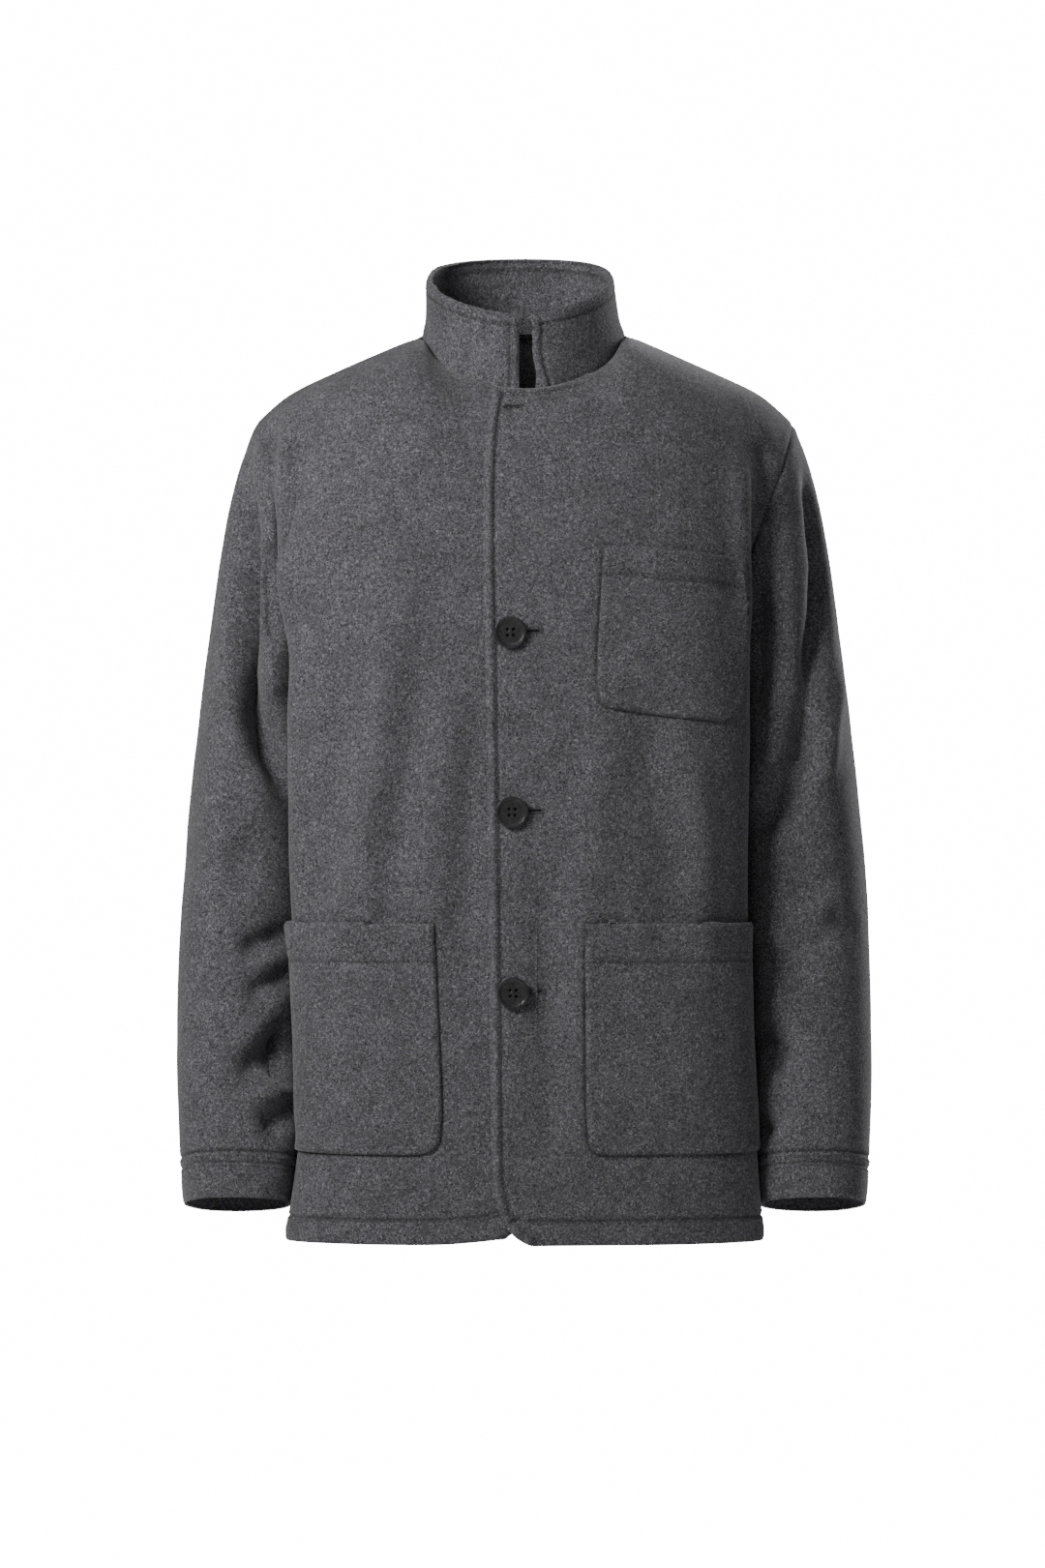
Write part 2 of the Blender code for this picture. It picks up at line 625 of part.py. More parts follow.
def hole_cutter(name, piece):
    """Four pins on a square, which drill a button's holes."""
    work = bmesh.new()
    for corner in range(4):
        turn = 0.25 * math.pi + 0.5 * math.pi * corner
        ring = bmesh.ops.create_cone(work, cap_ends=True, segments=HOLE_SIDES, radius1=HOLE_RADIUS * MM,
                                     radius2=HOLE_RADIUS * MM, depth=4.0 * BUTTON_THICKNESS * MM)
        spread = math.sqrt(2.0) * HOLE_SPREAD * MM
        bmesh.ops.translate(work, verts=ring["verts"],
                            vec=(spread * math.cos(turn), spread * math.sin(turn), 0.0))
    mesh = bpy.data.meshes.new(name + "_holes")
    work.to_mesh(mesh)
    work.free()
    cutter = bpy.data.objects.new(name + "_holes", mesh)
    CUTTERS.objects.link(cutter)
    cutter.location = piece.location
    cutter.rotation_euler = piece.rotation_euler
    cutter.hide_render = True
    cutter.display_type = "WIRE"
    return cutter


for old in list(bpy.data.objects):
    bpy.data.objects.remove(old, do_unlink=True)
JACKET = bpy.data.collections.new("stand_collar_jacket")
CUTTERS = bpy.data.collections.new("cutters")
bpy.context.scene.collection.children.link(JACKET)
bpy.context.scene.collection.children.link(CUTTERS)

MELTON = material("charcoal_melton", (0.075, 0.073, 0.083), 0.95)
BUTTON_PAINT = material("dark_button", (0.02, 0.02, 0.022), 0.3)

cloth_piece("front_left", front_grid(1), CLOTH, MELTON)
cloth_piece("front_right", front_grid(-1), CLOTH, MELTON, outward_flip=True)
cloth_piece("back", back_grid(), CLOTH, MELTON)
cloth_piece("sleeve_left", sleeve_grid(1, LEFT_SLEEVE_FOLDS), CLOTH, MELTON, outward_flip=True)
cloth_piece("sleeve_right", sleeve_grid(-1, RIGHT_SLEEVE_FOLDS), CLOTH, MELTON)
cloth_piece("collar", collar_grid(), COLLAR_WALL, MELTON)
for each in POCKETS:
    cloth_piece(each.name, pocket_grid(each), CLOTH, MELTON, outward_flip=each.side < 0)
for button_name, button_height in BUTTON_HEIGHTS.items():
    button(button_name, button_height, BUTTON_PAINT)
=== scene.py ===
# %% [markdown]
# # A stand collar jacket in melton wool
# This lesson dresses a CAD jacket in real cloth. The CAD nodes say where every panel lies and how big it is.
# Here each panel becomes a soft sheet with folds, seams and rows of stitching, and the buttons get their
# dished faces. Sizes are in millimetres where a tailor would say them, and MM turns them into Blender's
# metres.

import math

import bpy
import numpy as np
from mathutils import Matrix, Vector, noise
from mathutils.bvhtree import BVHTree
from mathutils.kdtree import KDTree


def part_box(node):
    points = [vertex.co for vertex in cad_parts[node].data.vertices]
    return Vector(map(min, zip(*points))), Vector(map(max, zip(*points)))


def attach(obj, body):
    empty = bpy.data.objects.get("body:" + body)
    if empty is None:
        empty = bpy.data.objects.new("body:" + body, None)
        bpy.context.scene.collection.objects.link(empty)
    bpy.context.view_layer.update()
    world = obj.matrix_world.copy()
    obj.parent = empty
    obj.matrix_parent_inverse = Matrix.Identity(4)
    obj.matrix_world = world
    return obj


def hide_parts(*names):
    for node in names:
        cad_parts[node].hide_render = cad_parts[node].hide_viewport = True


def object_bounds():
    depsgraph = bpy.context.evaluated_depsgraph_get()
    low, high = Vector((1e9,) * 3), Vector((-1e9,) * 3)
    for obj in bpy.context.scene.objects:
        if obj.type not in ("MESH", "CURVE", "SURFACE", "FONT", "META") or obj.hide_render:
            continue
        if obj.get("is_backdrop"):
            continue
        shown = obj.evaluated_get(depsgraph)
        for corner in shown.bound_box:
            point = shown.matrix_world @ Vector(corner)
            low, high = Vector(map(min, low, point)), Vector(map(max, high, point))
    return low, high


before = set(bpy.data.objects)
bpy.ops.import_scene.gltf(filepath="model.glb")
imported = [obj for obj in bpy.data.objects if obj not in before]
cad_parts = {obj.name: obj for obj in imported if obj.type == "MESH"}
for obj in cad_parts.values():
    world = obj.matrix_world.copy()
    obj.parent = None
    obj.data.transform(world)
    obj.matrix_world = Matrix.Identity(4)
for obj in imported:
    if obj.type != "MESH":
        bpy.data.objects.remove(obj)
cad_low, cad_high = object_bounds()
MM = 0.001
print("jacket box in mm:", [round(v / MM) for v in (cad_high - cad_low)])

# %% [markdown]
# Operators act on whatever is selected, and the frame leaves every node selected. So each step first picks
# one piece, and a modifier is added, set and used up in one go.


# %% Pick a piece and use up a modifier
def pick(piece):
    """Selects this piece alone, so that an operator acts on nothing else."""
    bpy.ops.object.select_all(action="DESELECT")
    piece.select_set(True)
    bpy.context.view_layer.objects.active = piece


def use(piece, kind, **settings):
    """Adds a modifier with these settings and applies it."""
    pick(piece)
    step = piece.modifiers.new(kind, kind)
    for setting, value in settings.items():
        setattr(step, setting, value)
    bpy.ops.object.modifier_apply(modifier=step.name)


# %% [markdown]
# A CAD panel is a closed wall made of flat facets. Cloth is easier to shape as one open sheet, so a copy of
# the wall keeps only its outer face: one face that looks outwards is chosen, the selection spreads over
# every edge that isn't sharp, and the rims and the inner face are deleted. Its triangles then pair up into
# the tailor's grid.

# %% Keep the outer face of a wall
MERGE_GAP = 0.02 * MM
RIM_ANGLE = math.radians(60)
FACING = 0.8


def outer_face(node, outward):
    """A copy of a CAD wall's outer face, as one open sheet of four-sided faces."""
    pick(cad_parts[node])
    bpy.ops.object.duplicate()
    sheet = bpy.context.active_object
    sheet.parent = None
    for key in list(sheet.keys()):
        del sheet[key]
    bpy.ops.object.mode_set(mode="EDIT")
    bpy.ops.mesh.select_mode(type="FACE")
    bpy.ops.mesh.select_all(action="SELECT")
    bpy.ops.mesh.remove_doubles(threshold=MERGE_GAP)
    bpy.ops.mesh.customdata_custom_splitnormals_clear()
    bpy.ops.mesh.select_all(action="DESELECT")
    bpy.ops.object.mode_set(mode="OBJECT")
    way = Vector(outward)
    facing = [face for face in sheet.data.polygons if face.normal.dot(way) > FACING]
    max(facing, key=lambda face: face.center.dot(way)).select = True
    bpy.ops.object.mode_set(mode="EDIT")
    bpy.ops.mesh.faces_select_linked_flat(sharpness=RIM_ANGLE)
    bpy.ops.mesh.select_all(action="INVERT")
    bpy.ops.mesh.delete(type="FACE")
    bpy.ops.mesh.select_all(action="SELECT")
    bpy.ops.mesh.tris_convert_to_quads(face_threshold=math.pi, shape_threshold=math.pi)
    bpy.ops.object.mode_set(mode="OBJECT")
    return sheet


# %% [markdown]
# The folds and seams below are worked out for thousands of points at once, so the points travel between
# Blender and numpy in one block. A rim edge is an edge with a face on one side only.


# %% Points, normals and rims
def rows_of(items, value):
    """One row of three numbers for each item."""
    flat = np.empty(len(items) * 3)
    items.foreach_get(value, flat)
    return flat.reshape(-1, 3)


def points_of(piece):
    """The piece's points in millimetres."""
    return rows_of(piece.data.vertices, "co") / MM


def normals_of(piece):
    """The way that the cloth faces at each point."""
    return rows_of(piece.data.vertex_normals, "vector")


def place_points(piece, points):
    """Moves the piece's points to these places in millimetres."""
    piece.data.vertices.foreach_set("co", (points * MM).ravel())
    piece.data.update()


def tree_of(piece):
    """A search tree of the piece's faces as they lie now."""
    return BVHTree.FromObject(piece, bpy.context.evaluated_depsgraph_get())


def spots_of(hits):
    """Where a search tree's hits lie, in millimetres, and the way that the cloth faces there."""
    return np.array([hit[0] for hit in hits]) / MM, np.array([hit[1] for hit in hits])


def rim_edges(piece, where):
    """The end points' numbers of the rim edges whose middle and direction suit the rule where."""
    mesh = piece.data
    used = np.empty(len(mesh.loops), int)
    mesh.loops.foreach_get("edge_index", used)
    ends = np.empty(len(mesh.edges) * 2, int)
    mesh.edges.foreach_get("vertices", ends)
    ends = ends.reshape(-1, 2)[np.bincount(used, minlength=len(mesh.edges)) == 1]
    points = points_of(piece)
    first, last = points[ends[:, 0]], points[ends[:, 1]]
    return ends[where((first + last) / 2, last - first)]


# %% [markdown]
# How far a point lies from a seam or an edge decides how it is pressed, rolled or stitched. A KD-tree finds
# the nearest of many samples quickly.

# %% Measure how far each point is from an edge
EDGE_SAMPLES = np.linspace(0, 1, 6)[:-1]
TOO_FAR = 9999.0


def rim_samples(piece, where):
    """Close points all along the rim edges that suit the rule, in millimetres."""
    ends = rim_edges(piece, where)
    points = points_of(piece)
    first, last = points[ends[:, 0]], points[ends[:, 1]]
    return np.concatenate([first + (last - first) * share for share in EDGE_SAMPLES])


def nearest(samples, points, within=TOO_FAR):
    """Each point's nearest sample, by number, and how far off it is, or TOO_FAR when well beyond within."""
    tree = KDTree(len(samples))
    for number, sample in enumerate(samples):
        tree.insert(sample, number)
    tree.balance()
    close = np.all((points > samples.min(0) - within) & (points < samples.max(0) + within), axis=1)
    number, off = np.zeros(len(points), int), np.full(len(points), TOO_FAR)
    found = [tree.find(point)[1:] for point in points[close]]
    number[close], off[close] = [row[0] for row in found], [row[1] for row in found]
    return number, off


# %% [markdown]
# Subdivision turns the facets into a smooth sheet, with a point about every 6 mm on the calm body and every
# 3 mm on the sleeves, which fold more. Rolled edges and stitch channels are finer still, so the faces near a
# rim are split.

# %% Smooth a sheet and split its edge faces
BODY_LEVELS, SLEEVE_LEVELS = 2, 3
EDGE_BANDS, EDGE_FINE = (13.0, 9.0), 4.0


def any_rim(middle, along):
    return np.ones(len(middle), bool)


def split_near(sheet, samples, reach, fine=0.0):
    """Splits the faces within reach of the samples that are larger than fine, in square millimetres."""
    middles = np.array([face.center for face in sheet.data.polygons]) / MM
    large = np.array([face.area for face in sheet.data.polygons]) / MM ** 2 > fine
    near = nearest(samples, middles, reach)[1] < reach
    pick(sheet)
    bpy.ops.object.mode_set(mode="EDIT")
    bpy.ops.mesh.select_all(action="DESELECT")
    bpy.ops.object.mode_set(mode="OBJECT")
    sheet.data.polygons.foreach_set("select", near & large)
    bpy.ops.object.mode_set(mode="EDIT")
    bpy.ops.mesh.subdivide(number_cuts=1)
    bpy.ops.object.mode_set(mode="OBJECT")


def smooth_sheet(sheet, levels):
    """Rounds a sheet and makes it finer along its rims."""
    use(sheet, "SUBSURF", levels=levels, render_levels=levels, boundary_smooth="PRESERVE_CORNERS")
    for reach in EDGE_BANDS[levels - BODY_LEVELS:]:
        split_near(sheet, rim_samples(sheet, any_rim), reach, EDGE_FINE)


# %% Take up the nine cloth pieces
OUTWARD = {
    "front_left": (0, -1, 0), "front_right": (0, -1, 0), "back": (0, 1, 0),
    "sleeve_left": (1, 0, 0), "sleeve_right": (-1, 0, 0), "collar": (0, -1, 0),
    "pocket_chest": (0, -1, 0), "pocket_left": (0, -1, 0), "pocket_right": (0, -1, 0),
}
SLEEVES = ("sleeve_left", "sleeve_right")
cloth = {}
for node, outward in OUTWARD.items():
    cloth[node] = outer_face(node, outward)
    cloth[node].name = "melton_" + node
    odd = sum(len(face.vertices) != 4 for face in cloth[node].data.polygons)
    grid = len(cloth[node].data.polygons)
    smooth_sheet(cloth[node], SLEEVE_LEVELS if node in SLEEVES else BODY_LEVELS)
    print(node, "grid faces", grid, "not four-sided", odd, "smooth faces", len(cloth[node].data.polygons))

# %% [markdown]
# On the worn jacket the collar opens a little wider than it was drafted, more to one side, and the top of
# the lap leans in towards the neck. Both are eased into the smooth sheets before any fold is pressed. Here
# x, y and z are columns of the sheet's points, so what is added to one of them moves the points.

# %% Open the collar and lean the lap
COLLAR_MIDDLE, COLLAR_RISE, COLLAR_HIGH = 11.0, 0.41, 52.0
COLLAR_OPEN, COLLAR_SHIFT, SHIFT_WIDE = 0.065, -3.2, 60.0
END_OPEN, END_WIDE, END_HIGH = 6.5, 26.0, 0.55
ENDS_SHIFT, ENDS_WIDE = -2.4, 60.0
END_SQUARE, SQUARE_FROM = 8.5, 0.7
LEAN, LEAN_REACH, LEAN_WIDE, LAP_HEAD = 4.5, 22.0, 55.0, -54.0

points = points_of(cloth["collar"])
x, y, z = points.T
up = np.clip((z - COLLAR_MIDDLE - COLLAR_RISE * y) / COLLAR_HIGH + 0.5, 0, 1)
x += up * (COLLAR_OPEN * x + COLLAR_SHIFT * np.clip(np.abs(x) / SHIFT_WIDE, 0, 1))
x += ENDS_SHIFT * np.clip(1 - np.abs(x) / ENDS_WIDE, 0, 1) * (y < 0)
end = x[(x > 0) & (y < 0)].min()
beyond = np.clip(1 - (x - end) / END_WIDE, 0, 1) * (x > 0) * (y < 0)
x += END_OPEN * beyond * np.clip(1 - up / END_HIGH, 0, 1) ** 2
x -= END_SQUARE * beyond * np.clip((up - SQUARE_FROM) / (1 - SQUARE_FROM), 0, 1) ** 4
place_points(cloth["collar"], points)

points = points_of(cloth["front_left"])
x, y, z = points.T
down = np.clip(LAP_HEAD - z, 0, None)
x += LEAN * np.exp(-down / LEAN_REACH) * np.clip(1 - (x - x.min()) / LEAN_WIDE, 0, 1)
place_points(cloth["front_left"], points)
print("collar opened by", COLLAR_OPEN, "and the lap leant in by", LEAN, "mm")

# %% [markdown]
# The jacket doesn't hang quite evenly. Between the armhole and the hem the sides of the body come in a
# little, more on one side, and the inner side of each sleeve follows, so the gap between them stays the
# same. On the other side the front is drawn out at the armhole, and its edge hangs almost straight. The
# lower pockets come in with the sides.

# %% Bring in the sides
SIDE_LEVELS = (-715.0, -680.0, -640.0, -560.0, -480.0, -190.0, -110.0)
SIDE_IN_LEFT = (0.0, 1.0, 3.0, 7.0, 9.0, 9.0, 0.0)
SIDE_IN_RIGHT = (0.0, 4.0, 8.0, 6.0, 3.0, 2.0, 0.0)
SIDE_FROM, SIDE_EDGE, SIDE_FADE = 110.0, 190.0, 245.0
POCKET_LEVELS, POCKET_IN_LEFT, POCKET_IN_RIGHT = (-655.0, -470.0), (7.5, 7.5), (11.0, 6.0)
ARMHOLE_X, ARMHOLE_WIDE, ARMHOLE_Z, ARMHOLE_HIGH = -187.0, 28.0, -192.0, 38.0
ARMHOLE_OUT, ARMHOLE_FRONT = 10.0, 15.0
MOUTH_DROP, LOWER_PART = 5.0, 40.0


def soft_step(share):
    """Goes from 0 to 1 with a soft start and a soft end."""
    share = np.clip(share, 0, 1)
    return share * share * (3 - 2 * share)


def bell(off, wide):
    """Falls softly from 1 to nothing, the slower the wider it is."""
    return np.exp(-((off / wide) ** 2))


def towards_side(x):
    """How near a point is to the side of the body, from 0 to 1, and back to 0 across the sleeve."""
    off = np.abs(x)
    nearing = (off - SIDE_FROM) / (SIDE_EDGE - SIDE_FROM)
    leaving = (SIDE_FADE - off) / (SIDE_FADE - SIDE_EDGE)
    return soft_step(nearing) * soft_step(leaving)


for node in ("front_left", "front_right", "back") + SLEEVES:
    points = points_of(cloth[node])
    x, y, z = points.T
    left_in, right_in = (np.interp(z, SIDE_LEVELS, amounts) for amounts in (SIDE_IN_LEFT, SIDE_IN_RIGHT))
    x += np.where(x > 0, -left_in, right_in) * towards_side(x)
    place_points(cloth[node], points)
for node in ("front_right", "sleeve_right"):
    points = points_of(cloth[node])
    x, y, z = points.T
    near = bell(x - ARMHOLE_X, ARMHOLE_WIDE) * bell(z - ARMHOLE_Z, ARMHOLE_HIGH)
    x -= ARMHOLE_OUT * near * soft_step(-y / ARMHOLE_FRONT)
    place_points(cloth[node], points)
for node, way, amounts in (("pocket_left", -1, POCKET_IN_LEFT), ("pocket_right", 1, POCKET_IN_RIGHT)):
    points = points_of(cloth[node])
    x, y, z = points.T
    x += way * np.interp(z, POCKET_LEVELS, amounts) * towards_side(x)
    z -= MOUTH_DROP * np.clip((z - z.min() - LOWER_PART) / (z.max() - z.min() - LOWER_PART), 0, 1)
    place_points(cloth[node], points)
print("sides brought in by up to", max(SIDE_IN_LEFT), "and", max(SIDE_IN_RIGHT), "mm")

# %% [markdown]
# Smoothing rounds off the chest pocket's upper corner, which was cut sharp. The upper part of the pocket is
# stretched until its mouth is a straight, slightly sloping line again. Its lower part is stretched too, more
# towards the armhole and less at the corners, so the lower edge slopes and its corners are round.

# %% Shape the chest pocket
MOUTH_ENDS, MOUTH_HEIGHTS = (57.0, 177.0), (-173.5, -183.7)
BOTTOM_PLACES, BOTTOM_DROPS = (72.0, 98.0, 118.0, 157.0, 172.0, 180.0), (0.0, 4.0, 6.0, 9.5, 7.0, 3.0)
STRETCH_FROM = -228.0
SLICES, SLICE_HALF = 60, 3.0
points = points_of(cloth["pocket_chest"])
rim = rim_samples(cloth["pocket_chest"], any_rim)
x, y, z = points.T
across = np.linspace(x.min(), x.max(), SLICES)
slices = [rim[np.abs(rim[:, 0] - middle) < SLICE_HALF, 2] for middle in across]
top_now, bottom_now = np.array([(heights.max(), heights.min()) for heights in slices]).T
rise = np.interp(x, across, np.interp(across, MOUTH_ENDS, MOUTH_HEIGHTS) - top_now)
z += rise * np.clip((z - STRETCH_FROM) / (np.interp(x, across, top_now) - STRETCH_FROM), 0, 1)
drop = np.interp(x, BOTTOM_PLACES, BOTTOM_DROPS)
z -= drop * np.clip((STRETCH_FROM - z) / (STRETCH_FROM - np.interp(x, across, bottom_now)), 0, 1)
place_points(cloth["pocket_chest"], points)
print("chest pocket mouth raised by up to", round(float(rise.max()), 1), "mm, lower edge dropped by up to",
      round(float(drop.max()), 1), "mm")

# %% [markdown]
# Heavy melton makes broad, soft folds. Each fold is drawn on the cloth as a line seen from the front or the
# back, in millimetres, and the points near it sink (a trough) or rise (a ridge), fading out at the line's
# ends. A fold is written as its width, its height and the corners of its line, each corner as x and z.

# %% Draw a fold on the cloth
FRONT_SIDE, BACK_SIDE = -1, 1
FOLD_STEP, FOLD_REACH, FADE_SHARE = 3.0, 3.0, 0.3
FAR_OFF = 1.0


def along_line(corners, step):
    """Points at this step along a line with these corners."""
    corners = np.array(corners, float)
    lengths = np.concatenate([[0], np.cumsum(np.linalg.norm(np.diff(corners, axis=0), axis=1))])
    stops = np.linspace(0, lengths[-1], max(2, int(lengths[-1] / step)))
    return np.stack([np.interp(stops, lengths, corners[:, axis]) for axis in range(corners.shape[1])], 1)


def drawn_on(tree, corners, side, step=FOLD_STEP):
    """Points and normals where the line meets the cloth, seen from side -1, the front, or +1, the back."""
    start, look = side * FAR_OFF, Vector((0, -side, 0))
    hits = [tree.ray_cast(Vector((x * MM, start, z * MM)), look)[:2] for x, z in along_line(corners, step)]
    hits = [hit for hit in hits if hit[0] is not None]
    return spots_of(hits)


def fold_height(piece, front, back):
    """How far each point of the piece rises or sinks with its folds, in millimetres."""
    points = points_of(piece)
    height = np.zeros(len(points))
    tree = tree_of(piece)
    folds = [(FRONT_SIDE, *fold) for fold in front] + [(BACK_SIDE, *fold) for fold in back]
    for side, width, depth, corners in folds:
        line = drawn_on(tree, corners, side)[0]
        if len(line) < 2:
            continue
        number, off = nearest(line, points, FOLD_REACH * width)
        share = number / (len(line) - 1)
        fade = soft_step(np.minimum(share, 1 - share) / FADE_SHARE)
        height += depth * fade * bell(off, width)
    return height


# %% [markdown]
# The sleeves carry the deepest folds. A long trough falls from each shoulder, and short ones cross the
# inside of the elbow and forearm where the arm would bend. The two sleeves differ, as they do on any worn
# jacket.

# %% Sleeve folds
SLEEVE_RIGHT_FRONT = (
    (13, -22, ((-214, -66), (-222, -92), (-228, -128), (-227, -190), (-225, -235), (-221, -275),
               (-212, -312), (-202, -340), (-184, -368))),
    (11, -14, ((-219, -262), (-212, -300), (-201, -336), (-188, -364), (-176, -385))),
    (11, 3, ((-236, -150), (-240, -210), (-238, -262), (-229, -310), (-214, -352))),
    (8, 3, ((-208, -110), (-206, -170), (-205, -230), (-201, -290), (-194, -325))),
    (9, -8, ((-204, -160), (-202, -212), (-198, -270))),
    (22, -8, ((-226, -110), (-225, -223), (-218, -275), (-208, -325))),
    (20, -6, ((-196, -280), (-190, -345))),
    (12, -4, ((-184, -477), (-232, -495))),
    (9, -8, ((-178, -512), (-200, -520), (-224, -531))),
    (9, -7, ((-178, -479), (-203, -487), (-228, -493))),
    (10, 4, ((-192, -543), (-234, -577))),
    (12, -11, ((-182, -550), (-207, -578), (-232, -593))),
    (13, -14, ((-186, -556), (-191, -574), (-194, -590), (-197, -606))),
    (9, 4, ((-190, -597), (-227, -618))),
    (10, -9, ((-178, -611), (-194, -624), (-212, -636))),
    (18, 3, ((-245, -380), (-250, -470))),
    (14, -3, ((-222, -395), (-230, -455))),
)
SLEEVE_RIGHT_BACK = (
    (11, -10, ((-184, -326), (-212, -362), (-242, -388))),
    (11, 5, ((-188, -366), (-214, -394), (-244, -414))),
    (10, -10, ((-190, -412), (-220, -438), (-252, -454))),
    (11, -12, ((-214, -100), (-220, -190), (-216, -290))),
    (11, 5, ((-196, -130), (-200, -200), (-198, -270))),
    (11, -8, ((-196, -530), (-224, -552), (-252, -562))),
    (10, -6, ((-200, -598), (-236, -618))),
)
SLEEVE_LEFT_FRONT = (
    (11, -17, ((222, -96), (232, -146), (237, -190), (236, -228), (229, -270), (224, -320))),
    (10, 4, ((256, -220), (255, -255), (250, -295), (243, -340), (230, -380))),
    (12, -17, ((228, -280), (220, -336), (205, -375), (188, -396), (176, -408))),
    (12, 4, ((208, -140), (209, -197), (205, -255))),
    (10, -8, ((184, -180), (185, -315))),
    (8, -4, ((203, -447), (252, -444))),
    (9, 3, ((206, -466), (250, -462))),
    (8, -5, ((200, -491), (250, -486))),
    (9, -3, ((235, -464), (268, -480))),
    (10, 4, ((190, -530), (227, -562))),
    (12, -10, ((176, -552), (212, -588))),
    (10, -7, ((178, -611), (202, -642))),
)
SLEEVE_LEFT_BACK = (
    (11, -9, ((184, -312), (212, -350), (242, -374))),
    (11, 5, ((190, -356), (216, -386), (244, -406))),
    (10, -10, ((190, -404), (222, -430), (254, -442))),
    (11, -11, ((218, -104), (224, -180), (220, -280))),
    (11, 5, ((200, -125), (203, -190), (200, -260))),
    (11, -8, ((194, -540), (222, -560), (250, -570))),
    (10, -5, ((202, -604), (238, -622))),
)
print("sleeve folds:", len(SLEEVE_RIGHT_FRONT + SLEEVE_RIGHT_BACK), "and",
      len(SLEEVE_LEFT_FRONT + SLEEVE_LEFT_BACK))

# %% [markdown]
# The body hangs calmer than the sleeves. Upright folds fan out from the chest and the shoulder blades
# towards the hem, no two of them alike, and the cloth is drawn in slightly where a button holds the fronts
# together.

# %% Body folds
FRONT_RIGHT_FOLDS = (
    (10, 7, ((-191, -62), (-190, -100), (-190, -140), (-188, -200), (-184, -270))),
    (8, -9, ((-206, -70), (-201, -120), (-197, -185))),
    (14, 4, ((-181, -230), (-182, -420), (-183, -690))),
    (16, 5.0, ((-86, -169), (-98, -231), (-109, -292), (-116, -346), (-125, -400), (-129, -454),
              (-132, -539))),
    (15, -4.5, ((-130, -220), (-140, -290), (-146, -338), (-152, -400), (-163, -446), (-168, -540))),
    (13, -4.5, ((-78, -240), (-90, -338), (-100, -400), (-106, -446), (-109, -530))),
    (12, 3.5, ((-48, -250), (-59, -338), (-69, -400), (-71, -446), (-73, -530))),
    (12, -3.4, ((-39, -300), (-42, -400), (-44, -446), (-46, -540))),
    (40, 3.0, ((-120, -90), (-124, -200), (-126, -320))),
    (12, -1.2, ((-30, -237), (-70, -244))),
    (12, -1.2, ((-30, -384), (-66, -396))),
    (12, -1.0, ((-30, -525), (-62, -530))),
)
FRONT_LEFT_FOLDS = (
    (11, 7, ((170, -78), (171, -140), (172, -200), (174, -270))),
    (8, -6, ((191, -84), (188, -140), (184, -180))),
    (18, 4.4, ((72, -262), (60, -338), (54, -400), (50, -446), (47, -540))),
    (17, -4.6, ((88, -262), (100, -346), (113, -400), (112, -454), (114, -540))),
    (12, 3.0, ((128, -300), (133, -354), (142, -408), (141, -454), (143, -530))),
    (14, -4.5, ((17, -390), (18, -520), (20, -690))),
    (18, 3.0, ((48, -450), (50, -560), (50, -700))),
    (26, 2.2, ((60, -110), (52, -300))),
    (12, -1.0, ((4, -237), (36, -246))),
    (12, -1.0, ((4, -384), (36, -392))),
    (12, -1.0, ((4, -525), (34, -530))),
)
BACK_FOLDS = (
    (24, 5.0, ((-108, -170), (-94, -300), (-84, -440), (-82, -690))),
    (17, -5.0, ((-62, -290), (-50, -400), (-46, -520), (-50, -700))),
    (28, -4.0, ((22, -300), (14, -440), (10, -560), (16, -700))),
    (22, 5.5, ((98, -170), (76, -330), (62, -480), (66, -700))),
    (14, -5.0, ((122, -280), (112, -400), (110, -500), (116, -620))),
    (18, 3.0, ((150, -260), (142, -430), (144, -640))),
    (13, -4.5, ((-134, -320), (-124, -440), (-128, -610))),
    (15, -4.5, ((-170, -140), (-160, -215), (-142, -290))),
    (15, 2.5, ((-148, -130), (-138, -205), (-118, -270))),
    (16, -4.0, ((168, -130), (158, -200), (140, -264))),
    (12, -2.6, ((-64, -40), (0, -52), (60, -42))),
)
FOLDS = {
    "sleeve_right": (SLEEVE_RIGHT_FRONT, SLEEVE_RIGHT_BACK),
    "sleeve_left": (SLEEVE_LEFT_FRONT, SLEEVE_LEFT_BACK),
    "front_right": (FRONT_RIGHT_FOLDS, ()), "front_left": (FRONT_LEFT_FOLDS, ()), "back": ((), BACK_FOLDS),
    "collar": ((), ()),
}
print("body folds:", len(FRONT_RIGHT_FOLDS) + len(FRONT_LEFT_FOLDS) + len(BACK_FOLDS))

# %% [markdown]
# Edges and seams are pressed in the same way, but by how far a point lies from a rim. A profile is a short
# list of soft steps: how far in, how high, how wide. A turned front edge is rounded, plump for 8 mm, and
# pinched by its row of stitches. A seam sinks into a groove. A hem is plump up to its stitches. Each profile
# also has a line of painted shade, the shadow in its stitch groove or seam groove: how far in, how wide, how
# dark.

# %% Edge and seam profiles
EDGE_ROW, HEM_ROW, CUFF_ROWS, COLLAR_ROW, INSIDE_ROW = 9.4, 20.0, (37.0, 28.0), 7.6, 9.6
ROLLED_EDGE = ((0.0, -2.0, 2.4), (5.0, 1.6, 3.0), (EDGE_ROW, -0.7, 1.8), (13.0, 0.2, 2.4))
SEAM_GROOVE = ((0.0, -1.3, 2.0), (5.0, 0.4, 3.2))
SOFT_SEAM = ((0.0, -0.6, 2.4),)
HEM_TURN = ((0.0, -0.9, 1.5), (10.0, 0.6, 7.0), (HEM_ROW, -1.0, 1.3), (23.5, 0.2, 2.0))
CUFF_TURN = ((0.0, -0.9, 1.5), (14.0, 0.6, 9.0), (CUFF_ROWS[0], -1.1, 1.4), (41.0, 0.2, 2.0))
CUFF_SECOND = ((CUFF_ROWS[1], -0.8, 1.3), (32.5, 0.5, 2.4))
